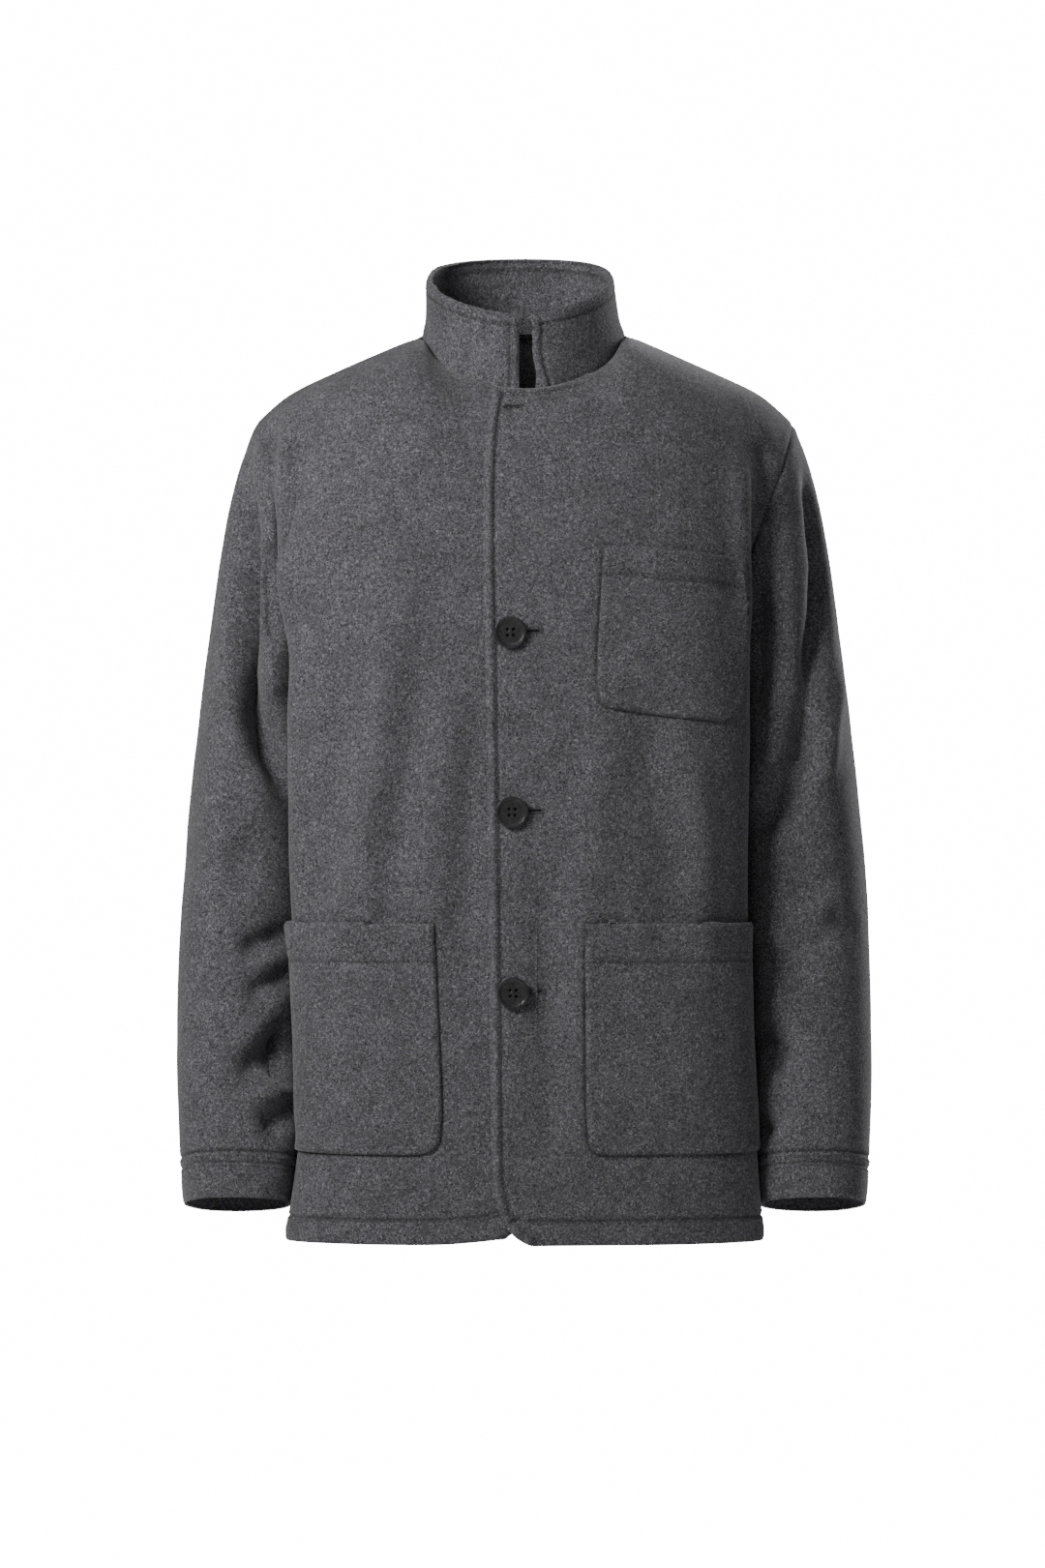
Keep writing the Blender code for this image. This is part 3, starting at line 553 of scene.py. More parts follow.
COLLAR_END = ((0.0, -1.4, 1.6), (3.8, 0.7, 2.4), (COLLAR_ROW, -1.0, 1.4))
COLLAR_TOP = ((0.0, -1.6, 1.8), (INSIDE_ROW, -0.45, 1.5))
# Painted shade: each profile's line of darker wool where the shadow of its stitch groove or seam groove
# falls.
PAINTED_SHADE_LINES = {
    ROLLED_EDGE: (EDGE_ROW, 1.2, 0.15), SEAM_GROOVE: (0.0, 1.2, 0.6), SOFT_SEAM: (0.0, 1.2, 0.2),
    HEM_TURN: (HEM_ROW, 1.1, 0.7), CUFF_TURN: (CUFF_ROWS[0], 1.1, 0.7), CUFF_SECOND: (CUFF_ROWS[1], 1.1, 0.5),
    COLLAR_END: (COLLAR_ROW, 1.1, 0.6), COLLAR_TOP: (INSIDE_ROW, 1.3, 0.55),
}


def pressed(profile, off):
    """The profile's height at each distance from the rim."""
    return sum(high * bell(off - place, wide) for place, high, wide in profile)


# %% [markdown]
# Each rim of a panel gets the profile that a tailor would give it. The rules below pick out the rims by
# their place: the front edge lies near the middle, the hem at the bottom, the cuff at the sleeve's lower
# end.

# %% Which rim gets which profile
LAP_CORNER, UNDERLAP = -2.0, 5.0
ROLL_FADE, ROLL_END = 16.0, 52.0
HEM_LEVEL = -705.0
CUFF_LEVEL = -600.0
NECK_LEVEL = -100.0


def lap_edge(middle, along):
    """The left front's free edge, with its rounded corner and the start of the neckline."""
    return (middle[:, 0] < LAP_CORNER) | ((middle[:, 0] < ROLL_END) & (middle[:, 2] > NECK_LEVEL))


def roll_strength(points):
    """The lap's roll dies away along the neckline, where the collar takes over."""
    faded = 1 - soft_step((points[:, 0] - ROLL_FADE) / (ROLL_END - ROLL_FADE))
    return np.where(points[:, 2] > NECK_LEVEL, faded, 1.0)


def underlap_edge(middle, along):
    return middle[:, 0] > UNDERLAP


def left_hem(middle, along):
    return (middle[:, 2] < HEM_LEVEL) & ~lap_edge(middle, along)


def right_hem(middle, along):
    return (middle[:, 2] < HEM_LEVEL) & ~underlap_edge(middle, along)


def cuff(middle, along):
    return middle[:, 2] < CUFF_LEVEL


def left_seam(middle, along):
    return ~lap_edge(middle, along) & ~left_hem(middle, along)


def right_seam(middle, along):
    return ~underlap_edge(middle, along) & ~right_hem(middle, along)


def back_hem(middle, along):
    return middle[:, 2] < HEM_LEVEL


def back_seam(middle, along):
    return middle[:, 2] >= HEM_LEVEL


def armhole_seam(middle, along):
    return ~cuff(middle, along)


def upright(along):
    """Which rim edges run up and down more than sideways."""
    return np.abs(along[:, 2]) >= np.hypot(along[:, 0], along[:, 1])


def collar_seam(middle, along):
    return (middle[:, 2] < COLLAR_MIDDLE + COLLAR_RISE * middle[:, 1]) & ~upright(along)


def collar_end(middle, along):
    return ~collar_seam(middle, along) & upright(along)


def collar_top(middle, along):
    return ~collar_seam(middle, along) & ~collar_end(middle, along)


RIMS = {
    "front_left": ((lap_edge, ROLLED_EDGE), (left_hem, HEM_TURN), (left_seam, SEAM_GROOVE)),
    "front_right": ((right_hem, HEM_TURN), (right_seam, SOFT_SEAM)),
    "back": ((back_hem, HEM_TURN), (back_seam, SEAM_GROOVE)),
    "sleeve_left": ((cuff, CUFF_TURN), (cuff, CUFF_SECOND), (armhole_seam, SEAM_GROOVE)),
    "sleeve_right": ((cuff, CUFF_TURN), (cuff, CUFF_SECOND), (armhole_seam, SOFT_SEAM)),
    "collar": ((collar_end, COLLAR_END), (collar_top, COLLAR_TOP), (collar_seam, SOFT_SEAM)),
}
print("rims to press:", sum(len(rules) for rules in RIMS.values()))

# %% [markdown]
# A row of stitches follows a rim at a set distance. The rim's edges are first put in order, end to end, then
# each point steps into the sheet at right angles to the rim and drops onto the cloth.


# %% Rows that follow a rim
def in_order(ends):
    """The longest run of rim points in order, and whether it goes once round."""
    beside = {}
    for first, last in ends.tolist():
        beside.setdefault(first, []).append(last)
        beside.setdefault(last, []).append(first)
    tips = [number for number, others in beside.items() if len(others) == 1]
    runs = []
    for start in tips or [min(beside)]:
        run, before = [start], None
        onward = beside[start][:1]
        while onward and onward[0] != start:
            before = run[-1]
            run.append(onward[0])
            onward = [number for number in beside[run[-1]] if number != before]
        runs.append(run)
    return max(runs, key=len), not tips


def row_beside(piece, where, inset):
    """A line on the cloth that keeps this distance from the rim that suits the rule, in millimetres."""
    order, closed = in_order(rim_edges(piece, where))
    points = points_of(piece)[order]
    normals = normals_of(piece)[order]
    if closed:
        points, normals = np.concatenate([points, points[:1]]), np.concatenate([normals, normals[:1]])
    along = np.gradient(points, axis=0)
    inward = np.cross(normals, along)
    inward /= np.linalg.norm(inward, axis=1)[:, None]
    tree = tree_of(piece)

    def dropped(way):
        return [tree.find_nearest(Vector(spot * MM)) for spot in points + way * inward * inset]

    sides = [dropped(1), dropped(-1)]
    hits = min(sides, key=lambda side: sum(hit[3] for hit in side))
    return spots_of(hits)


# %% [markdown]
# A row of stitches pinches the cloth into a channel barely 2 mm wide. The faces along each row are split
# until the channel has points of its own to sink.

# %% Make the cloth finer along its rows of stitches
MOUTH_SLOPE = 16.0
MOUTH_STITCH = {"pocket_chest": 23.0, "pocket_left": 29.5, "pocket_right": 29.5}
ROW_BANDS, ROW_FINE = (4.5, 3.2), 1.3


def mouth_of(node):
    """The rule for a pocket's upper rim."""
    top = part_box(node)[1].z / MM - MOUTH_SLOPE
    return lambda middle, along: (middle[:, 2] > top) & ~upright(along)


SEWN = {
    "front_left": ((lap_edge, EDGE_ROW), (left_hem, HEM_ROW)),
    "front_right": ((right_hem, HEM_ROW),),
    "back": ((back_hem, HEM_ROW),),
    "sleeve_left": tuple((cuff, inset) for inset in CUFF_ROWS),
    "sleeve_right": tuple((cuff, inset) for inset in CUFF_ROWS),
    "collar": ((collar_end, COLLAR_ROW), (collar_top, INSIDE_ROW)),
}
SEWN.update({node: ((mouth_of(node), inset),) for node, inset in MOUTH_STITCH.items()})
for node, lines in SEWN.items():
    for where, inset in lines:
        row = row_beside(cloth[node], where, inset)[0]
        for band in ROW_BANDS:
            split_near(cloth[node], row, band, ROW_FINE)
    print(node, "faces:", len(cloth[node].data.polygons))

# %% [markdown]
# A last small unevenness keeps the wool from looking moulded: two soft noise fields, one a hand wide and one
# a thumb wide. A point attribute holds painted shade for the material: how dark the shadow is where a point
# lies in a stitch groove or seam groove.

# %% Press the panels
WAVE_SIZES = ((95.0, 0.9), (34.0, 0.35))
PRESS_REACH, END_FADE = 70.0, 9.0


def unevenness(points):
    """Soft random height at each point, in millimetres, the same in every run."""
    def height(point):
        return sum(high * noise.noise(Vector(point / size)) for size, high in WAVE_SIZES)

    return np.array([height(point) for point in points])


def keep_painted_shade(piece, painted_shade):
    """Stores the painted shade of each point, from 0 to 1: the shadow in a groove or along an edge."""
    layer = piece.data.attributes.new("painted_shade", "FLOAT", "POINT")
    layer.data.foreach_set("value", np.clip(painted_shade, 0, 1).astype(np.float32))


def deepen_painted_shade(piece, painted_shade):
    """Adds painted shade to what a piece already has, keeping the darker value."""
    layer = piece.data.attributes["painted_shade"].data
    before = np.empty(len(layer), np.float32)
    layer.foreach_get("value", before)
    layer.foreach_set("value", np.maximum(before, painted_shade).astype(np.float32))


def press(node):
    """Folds a panel, presses its rims and stores the painted shade along its grooves and stitch rows."""
    piece = cloth[node]
    points = points_of(piece)
    height = fold_height(piece, *FOLDS[node]) + unevenness(points)
    painted_shade = np.zeros(len(points))
    for where, profile in RIMS[node]:
        off = nearest(rim_samples(piece, where), points, PRESS_REACH)[1]
        strength = roll_strength(points) if where is lap_edge else 1.0
        if where is collar_end:
            strength = np.clip(nearest(rim_samples(piece, collar_top), points)[1] / END_FADE, 0, 1)
        height += pressed(profile, off) * strength
        # The profile's line of painted shade: the shadow along its stitch groove or seam groove.
        place, wide, shade = PAINTED_SHADE_LINES[profile]
        painted_shade = np.maximum(painted_shade, shade * strength * bell(off - place, wide))
    place_points(piece, points + normals_of(piece) * height[:, None])
    keep_painted_shade(piece, painted_shade)
    return height


for node in RIMS:
    height = press(node)
    print(node, "sinks", round(-height.min(), 1), "and rises", round(height.max(), 1), "mm")

# %% [markdown]
# The lower corner of the lap is cut to a long soft curve. Its rim points are set on a quarter of an ellipse,
# and the cloth behind follows them. The same follow rule closes the seams further down.

# %% Round the corner of the lap
CORNER_WIDE, CORNER_HIGH = 36.0, 58.0
FOLLOW_REACH = 16.0


def follow(points, rim, pull):
    """Spreads the pull of the rim points to the points behind them, less and less with distance."""
    number, off = nearest(rim, points, FOLLOW_REACH)
    return pull[number] * soft_step(1 - off / FOLLOW_REACH)[:, None]


points = points_of(cloth["front_left"])
rim = points[np.unique(rim_edges(cloth["front_left"], any_rim))]
edge_x, hem_z = rim[rim[:, 2] < HEM_LEVEL + CORNER_HIGH, 0].min(), rim[:, 2].min()
across = (rim[:, 0] - edge_x - CORNER_WIDE) / CORNER_WIDE
down = (rim[:, 2] - hem_z - CORNER_HIGH) / CORNER_HIGH
in_corner = (across < 0) & (down < 0)
reach = np.where(in_corner, np.hypot(across, down), 1.0)
pull = np.zeros_like(rim)
pull[:, 0] = across * CORNER_WIDE * (1 / reach - 1)
pull[:, 2] = down * CORNER_HIGH * (1 / reach - 1)
place_points(cloth["front_left"], points + follow(points, rim, pull))
print("lap corner moved up to", round(float(np.abs(pull).max()), 1), "mm")

# %% [markdown]
# The forearms hang close to the body, so each sleeve's inner side is eased towards it above the cuff.

# %% Ease the sleeves towards the body
EASE, EASE_TOP, EASE_FULL = 7.0, -560.0, -630.0
EASE_FROM, EASE_TO = 224.0, 198.0
for node in SLEEVES:
    points = points_of(cloth[node])
    x, y, z = points.T
    inner = np.clip((EASE_FROM - np.abs(x)) / (EASE_FROM - EASE_TO), 0, 1)
    x -= np.sign(x) * EASE * inner * soft_step((EASE_TOP - z) / (EASE_TOP - EASE_FULL))
    place_points(cloth[node], points)
    print(node, "eased by up to", EASE, "mm")

# %% [markdown]
# Two panels meet at a seam, so their rims must touch. Each rim point moves half way to the other panel's rim
# and a hair beyond, so that no light shows through, and the cloth behind it follows, less and less with
# distance.

# %% Sew the panels together
SEAMS = {
    "front_left": left_seam, "front_right": right_seam, "back": back_seam, "sleeve_left": armhole_seam,
    "sleeve_right": armhole_seam, "collar": collar_seam,
}
SEAM_REACH, SEAM_TUCK = 9.0, 0.5


def seam_pull(node, samples):
    """How each point of a panel moves when its seams close, in millimetres."""
    points = points_of(cloth[node])
    others = np.concatenate([rows for other, rows in samples.items() if other != node])
    rim = points[np.unique(rim_edges(cloth[node], SEAMS[node]))]
    number, gap = nearest(others, rim)
    share = np.where(gap < SEAM_REACH, 0.5 + SEAM_TUCK / np.maximum(gap, SEAM_TUCK), 0.0)
    pull = (others[number] - rim) * share[:, None]
    return follow(points, rim, pull), gap


samples = {node: rim_samples(cloth[node], where) for node, where in SEAMS.items()}
pulls = {node: seam_pull(node, samples) for node in SEAMS}
for node, (pull, gap) in pulls.items():
    place_points(cloth[node], points_of(cloth[node]) + pull)
    print(node, "seams were up to", round(float(gap.max()), 1), "mm open")

# %% [markdown]
# Three buttonholes run sideways from under the buttons, and a fourth stays empty at the top of the lap. A
# closed slit shows only as a deep crease, so the faces round it are split three times and the finest ones
# are sunk, and painted shade darkens them as the shadow inside the slit.

# %% Cut the buttonholes
SLIT_BACK, SLIT_AHEAD, SLIT_UP = 1.0, 22.6, 1.0
EMPTY_BUTTONHOLE = (-16.0, -4.0, -65.0)
BUTTON_NODES = ("button_top", "button_middle", "button_bottom")
SLIT_STEP, SLIT_BANDS, SLIT_FINE = 0.5, (7.0, 4.0, 2.4), 0.35
SLIT_REACH, SLIT_HALF, SLIT_DEEP = 5.0, 0.75, 2.4
lap = cloth["front_left"]
slits = []
middles = [sum(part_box(node), Vector()) / 2 / MM for node in BUTTON_NODES]
holes = [(middle.x - SLIT_BACK, middle.x + SLIT_AHEAD, middle.z + SLIT_UP) for middle in middles]
for first, last, level in holes + [EMPTY_BUTTONHOLE]:
    tree = tree_of(lap)
    line, out = drawn_on(tree, ((first, level), (last, level)), FRONT_SIDE, SLIT_STEP)
    for band in SLIT_BANDS:
        split_near(lap, line, band, SLIT_FINE)
    points = points_of(lap)
    slit = bell(nearest(line, points, SLIT_REACH)[1], SLIT_HALF)
    place_points(lap, points - normals_of(lap) * (SLIT_DEEP * slit)[:, None])
    # Painted shade: the slit's shadow darkens the wool along it.
    deepen_painted_shade(lap, slit)
    slits.append((line, out))
print("buttonholes:", len(slits), "faces of the lap:", len(lap.data.polygons))

# %% [markdown]
# A patch pocket lies on its front like a second skin. Each point of the pocket is laid on the nearest point
# of the pressed front and lifted by one thickness of cloth, a little more in the middle so that the pocket
# looks used. Its mouth is a turned hem, and its other edges are rounded over and pinched by hidden stitches.
# Painted shade darkens the front along the pocket's outline and the pocket along its edges and stitch line,
# where their shadows fall.

# %% Lay the pockets on the fronts
POCKET_FRONT = {"pocket_chest": "front_left", "pocket_left": "front_left", "pocket_right": "front_right"}
POCKET_BAND, BAND_SPLITS = 5.0, 2
POCKET_GROOVE, GROOVE_WIDE, GROOVE_PAINTED_SHADE = 0.9, 1.7, 0.75
POCKET_LIFT, POCKET_PAINTED_SHADE = 2.6, 0.6
POCKET_SWELL, SWELL_REACH = 2.0, 45.0
POCKET_EDGE = ((0.0, -0.7, 1.2), (4.0, 0.4, 2.6))
MOUTH_GAPE, MOUTH_REACH = 2.6, 26.0
MOUTH_EDGE = ((0.0, -1.5, 1.6), (3.4, 0.3, 2.0))
MOUTH_CHANNEL, MOUTH_SUNK = 1.2, 0.7


def lay_pocket(node):
    """Lays a pocket on its front, swells it, opens its mouth a little and paints shade along its outline."""
    piece = cloth[node]
    points = points_of(piece)
    mouth = mouth_of(node)
    under = cloth[POCKET_FRONT[node]]
    outline = rim_samples(piece, any_rim)
    for _ in range(BAND_SPLITS):
        split_near(under, outline, POCKET_BAND, ROW_FINE)
    groove = bell(nearest(outline, points_of(under), POCKET_BAND)[1], GROOVE_WIDE)
    place_points(under, points_of(under) - normals_of(under) * (POCKET_GROOVE * groove)[:, None])
    # Painted shade in the groove round the pocket, where its shadow falls on the front.
    deepen_painted_shade(under, GROOVE_PAINTED_SHADE * groove)
    front = tree_of(under)
    found = [front.find_nearest(Vector(point * MM)) for point in points]
    spot, way = spots_of(found)
    off = nearest(rim_samples(piece, lambda middle, along: ~mouth(middle, along)), points)[1]
    below = nearest(rim_samples(piece, mouth), points)[1]
    inner = np.clip(off / SWELL_REACH, 0, 1)
    sewn = bell(below - MOUTH_STITCH[node], MOUTH_CHANNEL)
    height = POCKET_LIFT + POCKET_SWELL * soft_step(inner) + pressed(POCKET_EDGE, off)
    height += pressed(MOUTH_EDGE, below)
    height += MOUTH_GAPE * inner * bell(below, MOUTH_REACH) - MOUTH_SUNK * sewn
    place_points(piece, spot + way * height[:, None])
    # Painted shade along the pocket's edges and its stitch line.
    keep_painted_shade(piece, POCKET_PAINTED_SHADE * np.maximum(sewn, bell(off, MOUTH_CHANNEL)))


for node in POCKET_FRONT:
    lay_pocket(node)
    print(node, "lies on", POCKET_FRONT[node])

# %% [markdown]
# The topstitching is tone on tone: short thread loops in rows, a few millimetres in from an edge. One loop
# is modelled from a six-sided cylinder with its ends drawn in and bent down into the cloth. It is
# modelled large, a metre for a millimetre, and made small again as rows of copies are laid along the rims.

# %% Model one loop of thread
STITCH_LENGTH, STITCH_PITCH, STITCH_LIFT = 3.4, 4.4, 0.12
THREAD_RADIUS, THREAD_SIDES = 0.34, 6
STITCH_DIP, END_THIN, STITCH_BEND = 0.35, 0.55, STITCH_LENGTH / 4

bpy.ops.object.select_all(action="DESELECT")
bpy.ops.mesh.primitive_cylinder_add(
    vertices=THREAD_SIDES, radius=THREAD_RADIUS, depth=STITCH_LENGTH, rotation=(0, math.pi / 2, 0))
loop_of_thread = bpy.context.active_object
bpy.ops.object.transform_apply(location=True, rotation=True, scale=True)
bpy.ops.object.mode_set(mode="EDIT")
for bend in (STITCH_BEND, -STITCH_BEND):
    bpy.ops.mesh.select_all(action="SELECT")
    bpy.ops.mesh.bisect(plane_co=(bend, 0, 0), plane_no=(1, 0, 0))
bpy.ops.object.mode_set(mode="OBJECT")
loop_points = points_of(loop_of_thread) * MM
at_end = np.abs(loop_points[:, 0]) > (STITCH_BEND + STITCH_LENGTH / 2) / 2
loop_points[at_end, 1:] *= END_THIN
loop_points[at_end, 2] -= STITCH_DIP
loop_faces = [list(face.vertices) for face in loop_of_thread.data.polygons]
bpy.data.objects.remove(loop_of_thread)
print("a loop of thread has", len(loop_faces), "faces")


# %% Lay thread along a row
def thread_row(points, normals):
    """Places of the stitches along a row: middle, along, out, each a row of three numbers."""
    lengths = np.concatenate([[0], np.cumsum(np.linalg.norm(np.diff(points, axis=0), axis=1))])
    stops = np.arange(STITCH_PITCH, lengths[-1] - STITCH_PITCH / 2, STITCH_PITCH)

    def at(stop, rows):
        return np.stack([np.interp(stop, lengths, rows[:, axis]) for axis in range(3)], 1)

    along = at(stops + STITCH_LENGTH / 2, points) - at(stops - STITCH_LENGTH / 2, points)
    out = at(stops, normals)
    return at(stops, points) + out * STITCH_LIFT, along, out


def threads(name, rows):
    """One mesh that holds every stitch of these rows, each as long as its along."""
    middle, along, out = (np.concatenate([row[part] for row in rows]) for part in range(3))
    long = np.linalg.norm(along, axis=1)[:, None]
    along = along / long
    across = np.cross(out, along)
    across /= np.linalg.norm(across, axis=1)[:, None]
    up = np.cross(along, across)
    shape = loop_points[None, :, :]
    stretch = (long / STITCH_LENGTH)[:, None]
    spots = (middle[:, None] + shape[..., :1] * stretch * along[:, None] + shape[..., 1:2] * across[:, None]
             + shape[..., 2:] * up[:, None])
    count = len(loop_points)
    faces = [[number + turn * count for number in face] for turn in range(len(middle)) for face in loop_faces]
    mesh = bpy.data.meshes.new(name)
    mesh.from_pydata((spots.reshape(-1, 3) * MM).tolist(), [], faces)
    piece = bpy.data.objects.new(name, mesh)
    bpy.context.scene.collection.objects.link(piece)
    return piece


# %% [markdown]
# These rows are the ones that show: round the front edge, the hem, the cuffs, the collar's edge and the
# pocket mouths. The thread is almost lost in the wool, so the rows read as fine lines. A buttonhole's lips
# are worked over with close stitches across the edge, and a bar holds its outer end.

# %% Work the buttonholes
PURL_PITCH, PURL_LENGTH, PURL_OFF = 0.75, 1.7, 1.75
BAR_STITCHES, BAR_LENGTH, BAR_PITCH = 5, 5.6, 0.45
UP = np.array((0.0, 0.0, 1.0))


def purl_rows(line, out):
    """The close stitches on both lips of a slit, and the bar across its outer end."""
    every = max(1, round(PURL_PITCH / SLIT_STEP))
    spots, faces = line[::every], out[::every]
    stitch = np.tile(UP * PURL_LENGTH, (len(spots), 1))
    lips = [(spots + side * UP * PURL_OFF, stitch, faces) for side in (-1, 1)]
    right = line[-1] + np.outer(np.arange(1, BAR_STITCHES + 1) * BAR_PITCH, (1, 0, 0))
    bar = (right, np.tile(UP * BAR_LENGTH, (BAR_STITCHES, 1)), np.tile(out[-1], (BAR_STITCHES, 1)))
    return lips + [bar]


buttonhole_rows = [row for slit in slits for row in purl_rows(*slit)]
print("buttonhole stitches:", sum(len(row[0]) for row in buttonhole_rows))

# %% [markdown]
# Two short tacks beside each other hold the inner corner of each lower pocket's mouth, where a hand pulls
# most. A row also shows inside the collar, below its top edge.

# %% Tack the pocket corners and the inside of the collar
TACKS, TACK_IN, TACK_APART, TACK_DROP, TACK_LONG = 2, 4.2, 4.4, 3.0, 19.0
COLLAR_WALL = 3.6


def tack_rows(node, side):
    """Short upright rows by the mouth's corner on this side, -1 or +1 in x."""
    points = points_of(cloth[node])
    tree = tree_of(cloth[node])
    top = points[:, 2].max() - TACK_DROP
    edge = side * (side * points[points[:, 2] > top - TACK_LONG, 0]).max()
    rows = []
    for turn in range(TACKS):
        x = edge - side * (TACK_IN + turn * TACK_APART)
        line = drawn_on(tree, ((x, top), (x, top - TACK_LONG)), FRONT_SIDE, SLIT_STEP)
        rows.append(thread_row(*line))
    return rows


extra_rows = {"front_left": buttonhole_rows, "pocket_left": tack_rows("pocket_left", -1),
              "pocket_right": tack_rows("pocket_right", 1)}
spots, out = row_beside(cloth["collar"], collar_top, INSIDE_ROW)
extra_rows["collar"] = [thread_row(spots - out * COLLAR_WALL, -out)]
print("extra rows:", {node: len(rows) for node, rows in extra_rows.items()})

# %% Sew the rows
sewing = {}
for node, lines in SEWN.items():
    rows = [thread_row(*row_beside(cloth[node], where, inset)) for where, inset in lines]
    rows += extra_rows.get(node, [])
    sewing[node] = threads("thread_" + node, rows)
    print(node, "stitches:", sum(len(row[0]) for row in rows))

# %% [markdown]
# The sheets now get their thickness, inwards from the outer face, so the jacket keeps its size. A small
# bevel rounds the cut rims, because felted wool has no sharp corner.

# %% Give the cloth its thickness
CLOTH_WALL = 2.0
RIM_ROUND = 0.5
SMOOTH_ANGLE = math.radians(55)
for node, piece in cloth.items():
    wall = COLLAR_WALL if node == "collar" else CLOTH_WALL
    use(piece, "SOLIDIFY", thickness=wall * MM, offset=-1)
    use(piece, "BEVEL", width=RIM_ROUND * MM, segments=2, limit_method="ANGLE", angle_limit=RIM_ANGLE)
    pick(piece)
    bpy.ops.object.shade_smooth_by_angle(angle=SMOOTH_ANGLE)
    piece.data.calc_loop_triangles()
    print(node, "triangles:", len(piece.data.loop_triangles))

# %% [markdown]
# The buttons are near-black, 25 mm across, with a raised rim, a dished face and four holes. One is turned
# from a cylinder by insetting and moving its front face, drilled, rounded, and copied to the other two
# places.

# %% Turn a button
BUTTON_RADIUS, BUTTON_THICKNESS = 12.4, 4.2
HOLE_RADIUS, HOLE_SPREAD = 1.3, 2.35
BUTTON_STEPS = ((1.7, 0.0), (0.8, 1.3), (2.2, 0.15), (3.0, 0.1))
BUTTON_SIDES, HOLE_SIDES = 72, 20


def select_front(piece):
    """Selects only the face at the middle of the button's front."""
    front = min(piece.data.polygons, key=lambda face: (round(face.center.y / MM, 2), face.center.xz.length))
    for items in (piece.data.polygons, piece.data.edges, piece.data.vertices):
        items.foreach_set("select", [False] * len(items))
    front.select = True


bpy.ops.object.select_all(action="DESELECT")
bpy.ops.mesh.primitive_cylinder_add(
    vertices=BUTTON_SIDES, radius=BUTTON_RADIUS * MM, depth=BUTTON_THICKNESS * MM,
    rotation=(math.pi / 2, 0, 0))
button = bpy.context.active_object
bpy.ops.object.transform_apply(location=True, rotation=True, scale=True)
select_front(button)
bpy.ops.object.mode_set(mode="EDIT")
for inset, sink in BUTTON_STEPS:
    bpy.ops.mesh.inset(thickness=inset * MM)
    bpy.ops.transform.translate(value=(0, sink * MM, 0))
bpy.ops.object.mode_set(mode="OBJECT")
print("button faces:", len(button.data.polygons))

# %% Drill its four holes and round its edges
DRILL_LENGTH = 3 * BUTTON_THICKNESS
BUTTON_ROUND, ROUND_ANGLE, SHINE_ANGLE = 0.6, math.radians(24), math.radians(40)
for across in (-1, 1):
    for up in (-1, 1):
        bpy.ops.object.select_all(action="DESELECT")
        bpy.ops.mesh.primitive_cylinder_add(
            vertices=HOLE_SIDES, radius=HOLE_RADIUS * MM, depth=DRILL_LENGTH * MM,
            location=(across * HOLE_SPREAD * MM, 0, up * HOLE_SPREAD * MM), rotation=(math.pi / 2, 0, 0))
        drill = bpy.context.active_object
        use(button, "BOOLEAN", object=drill, operation="DIFFERENCE", solver="EXACT")
        bpy.data.objects.remove(drill)
use(button, "BEVEL", width=BUTTON_ROUND * MM, segments=3, limit_method="ANGLE", angle_limit=ROUND_ANGLE)
pick(button)
bpy.ops.object.shade_smooth_by_angle(angle=SHINE_ANGLE)
print("button faces with holes:", len(button.data.polygons))

# %% Copy the button to its three places
buttons = {}
for node in BUTTON_NODES:
    low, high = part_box(node)
    pick(button)
    bpy.ops.object.duplicate()
    copy = bpy.context.active_object
    copy.name = "dished_" + node
    copy.location = (low + high) / 2
    bpy.ops.object.transform_apply(location=True, rotation=True, scale=True)
    buttons[node] = copy
bpy.data.objects.remove(button)
print("buttons:", list(buttons))

# %% [markdown]
# The wool is charcoal, but no single fibre is: dark and pale hairs are felted together, so close up it is a
# fine worm-like mottle. A node group makes those flecks once, and the wool, the thread and the buttons each
# place it with their own fineness and greys. It reads Object coordinates, so the mottle runs on across every
# seam.


# %% Felted flecks
def new_group(name, inputs, outputs):
    """An empty shader group with these named sockets."""
    group = bpy.data.node_groups.new(name, "ShaderNodeTree")
    for title, kind, value in inputs:
        socket = group.interface.new_socket(title, in_out="INPUT", socket_type=kind)
        socket.default_value = value
    for title, kind in outputs:
        group.interface.new_socket(title, in_out="OUTPUT", socket_type=kind)
    return group, group.nodes.new("NodeGroupInput"), group.nodes.new("NodeGroupOutput")


def put(tree, socket, value):
    """Joins a socket to another one, or sets it to a constant."""
    if isinstance(value, bpy.types.NodeSocket):
        tree.links.new(value, socket)
    else:
        socket.default_value = value


def add_node(tree, kind, inputs, **traits):
    """Adds a node, joins or sets its named or numbered inputs, and gives its outputs."""
    node = tree.nodes.new("ShaderNode" + kind)
    for trait, value in traits.items():
        setattr(node, trait, value)
    for name, value in inputs.items():
        put(tree, node.inputs[name], value)
    return node.outputs


def work_out(tree, operation, *values):
    """The result of a sum with one or two values."""
    return add_node(tree, "Math", dict(enumerate(values)), operation=operation)["Value"]


def mix_colours(tree, kind, share, first, second):
    """The colour that two colours make together."""
    return add_node(tree, "Mix", {0: share, 6: first, 7: second}, data_type="RGBA", blend_type=kind)[2]


flecks, flecks_in, flecks_out = new_group(
    "felted_flecks",
    (("Fineness", "NodeSocketFloat", 800.0),
     ("Dark hair", "NodeSocketColor", (0.03, 0.03, 0.03, 1)),
     ("Ground", "NodeSocketColor", (0.08, 0.08, 0.08, 1)),
     ("Pale hair", "NodeSocketColor", (0.2, 0.2, 0.2, 1))),
    (("Colour", "NodeSocketColor"), ("Nap", "NodeSocketFloat")))
print("flecks take", [socket.name for socket in flecks_in.outputs if socket.name])

# %% [markdown]
# Three noises make the flecks. Worms are the short felted fibres, clouds make the tone drift over a thumb's
# width, and the line where the third noise crosses its middle value is a long hair, broken up by the worms.

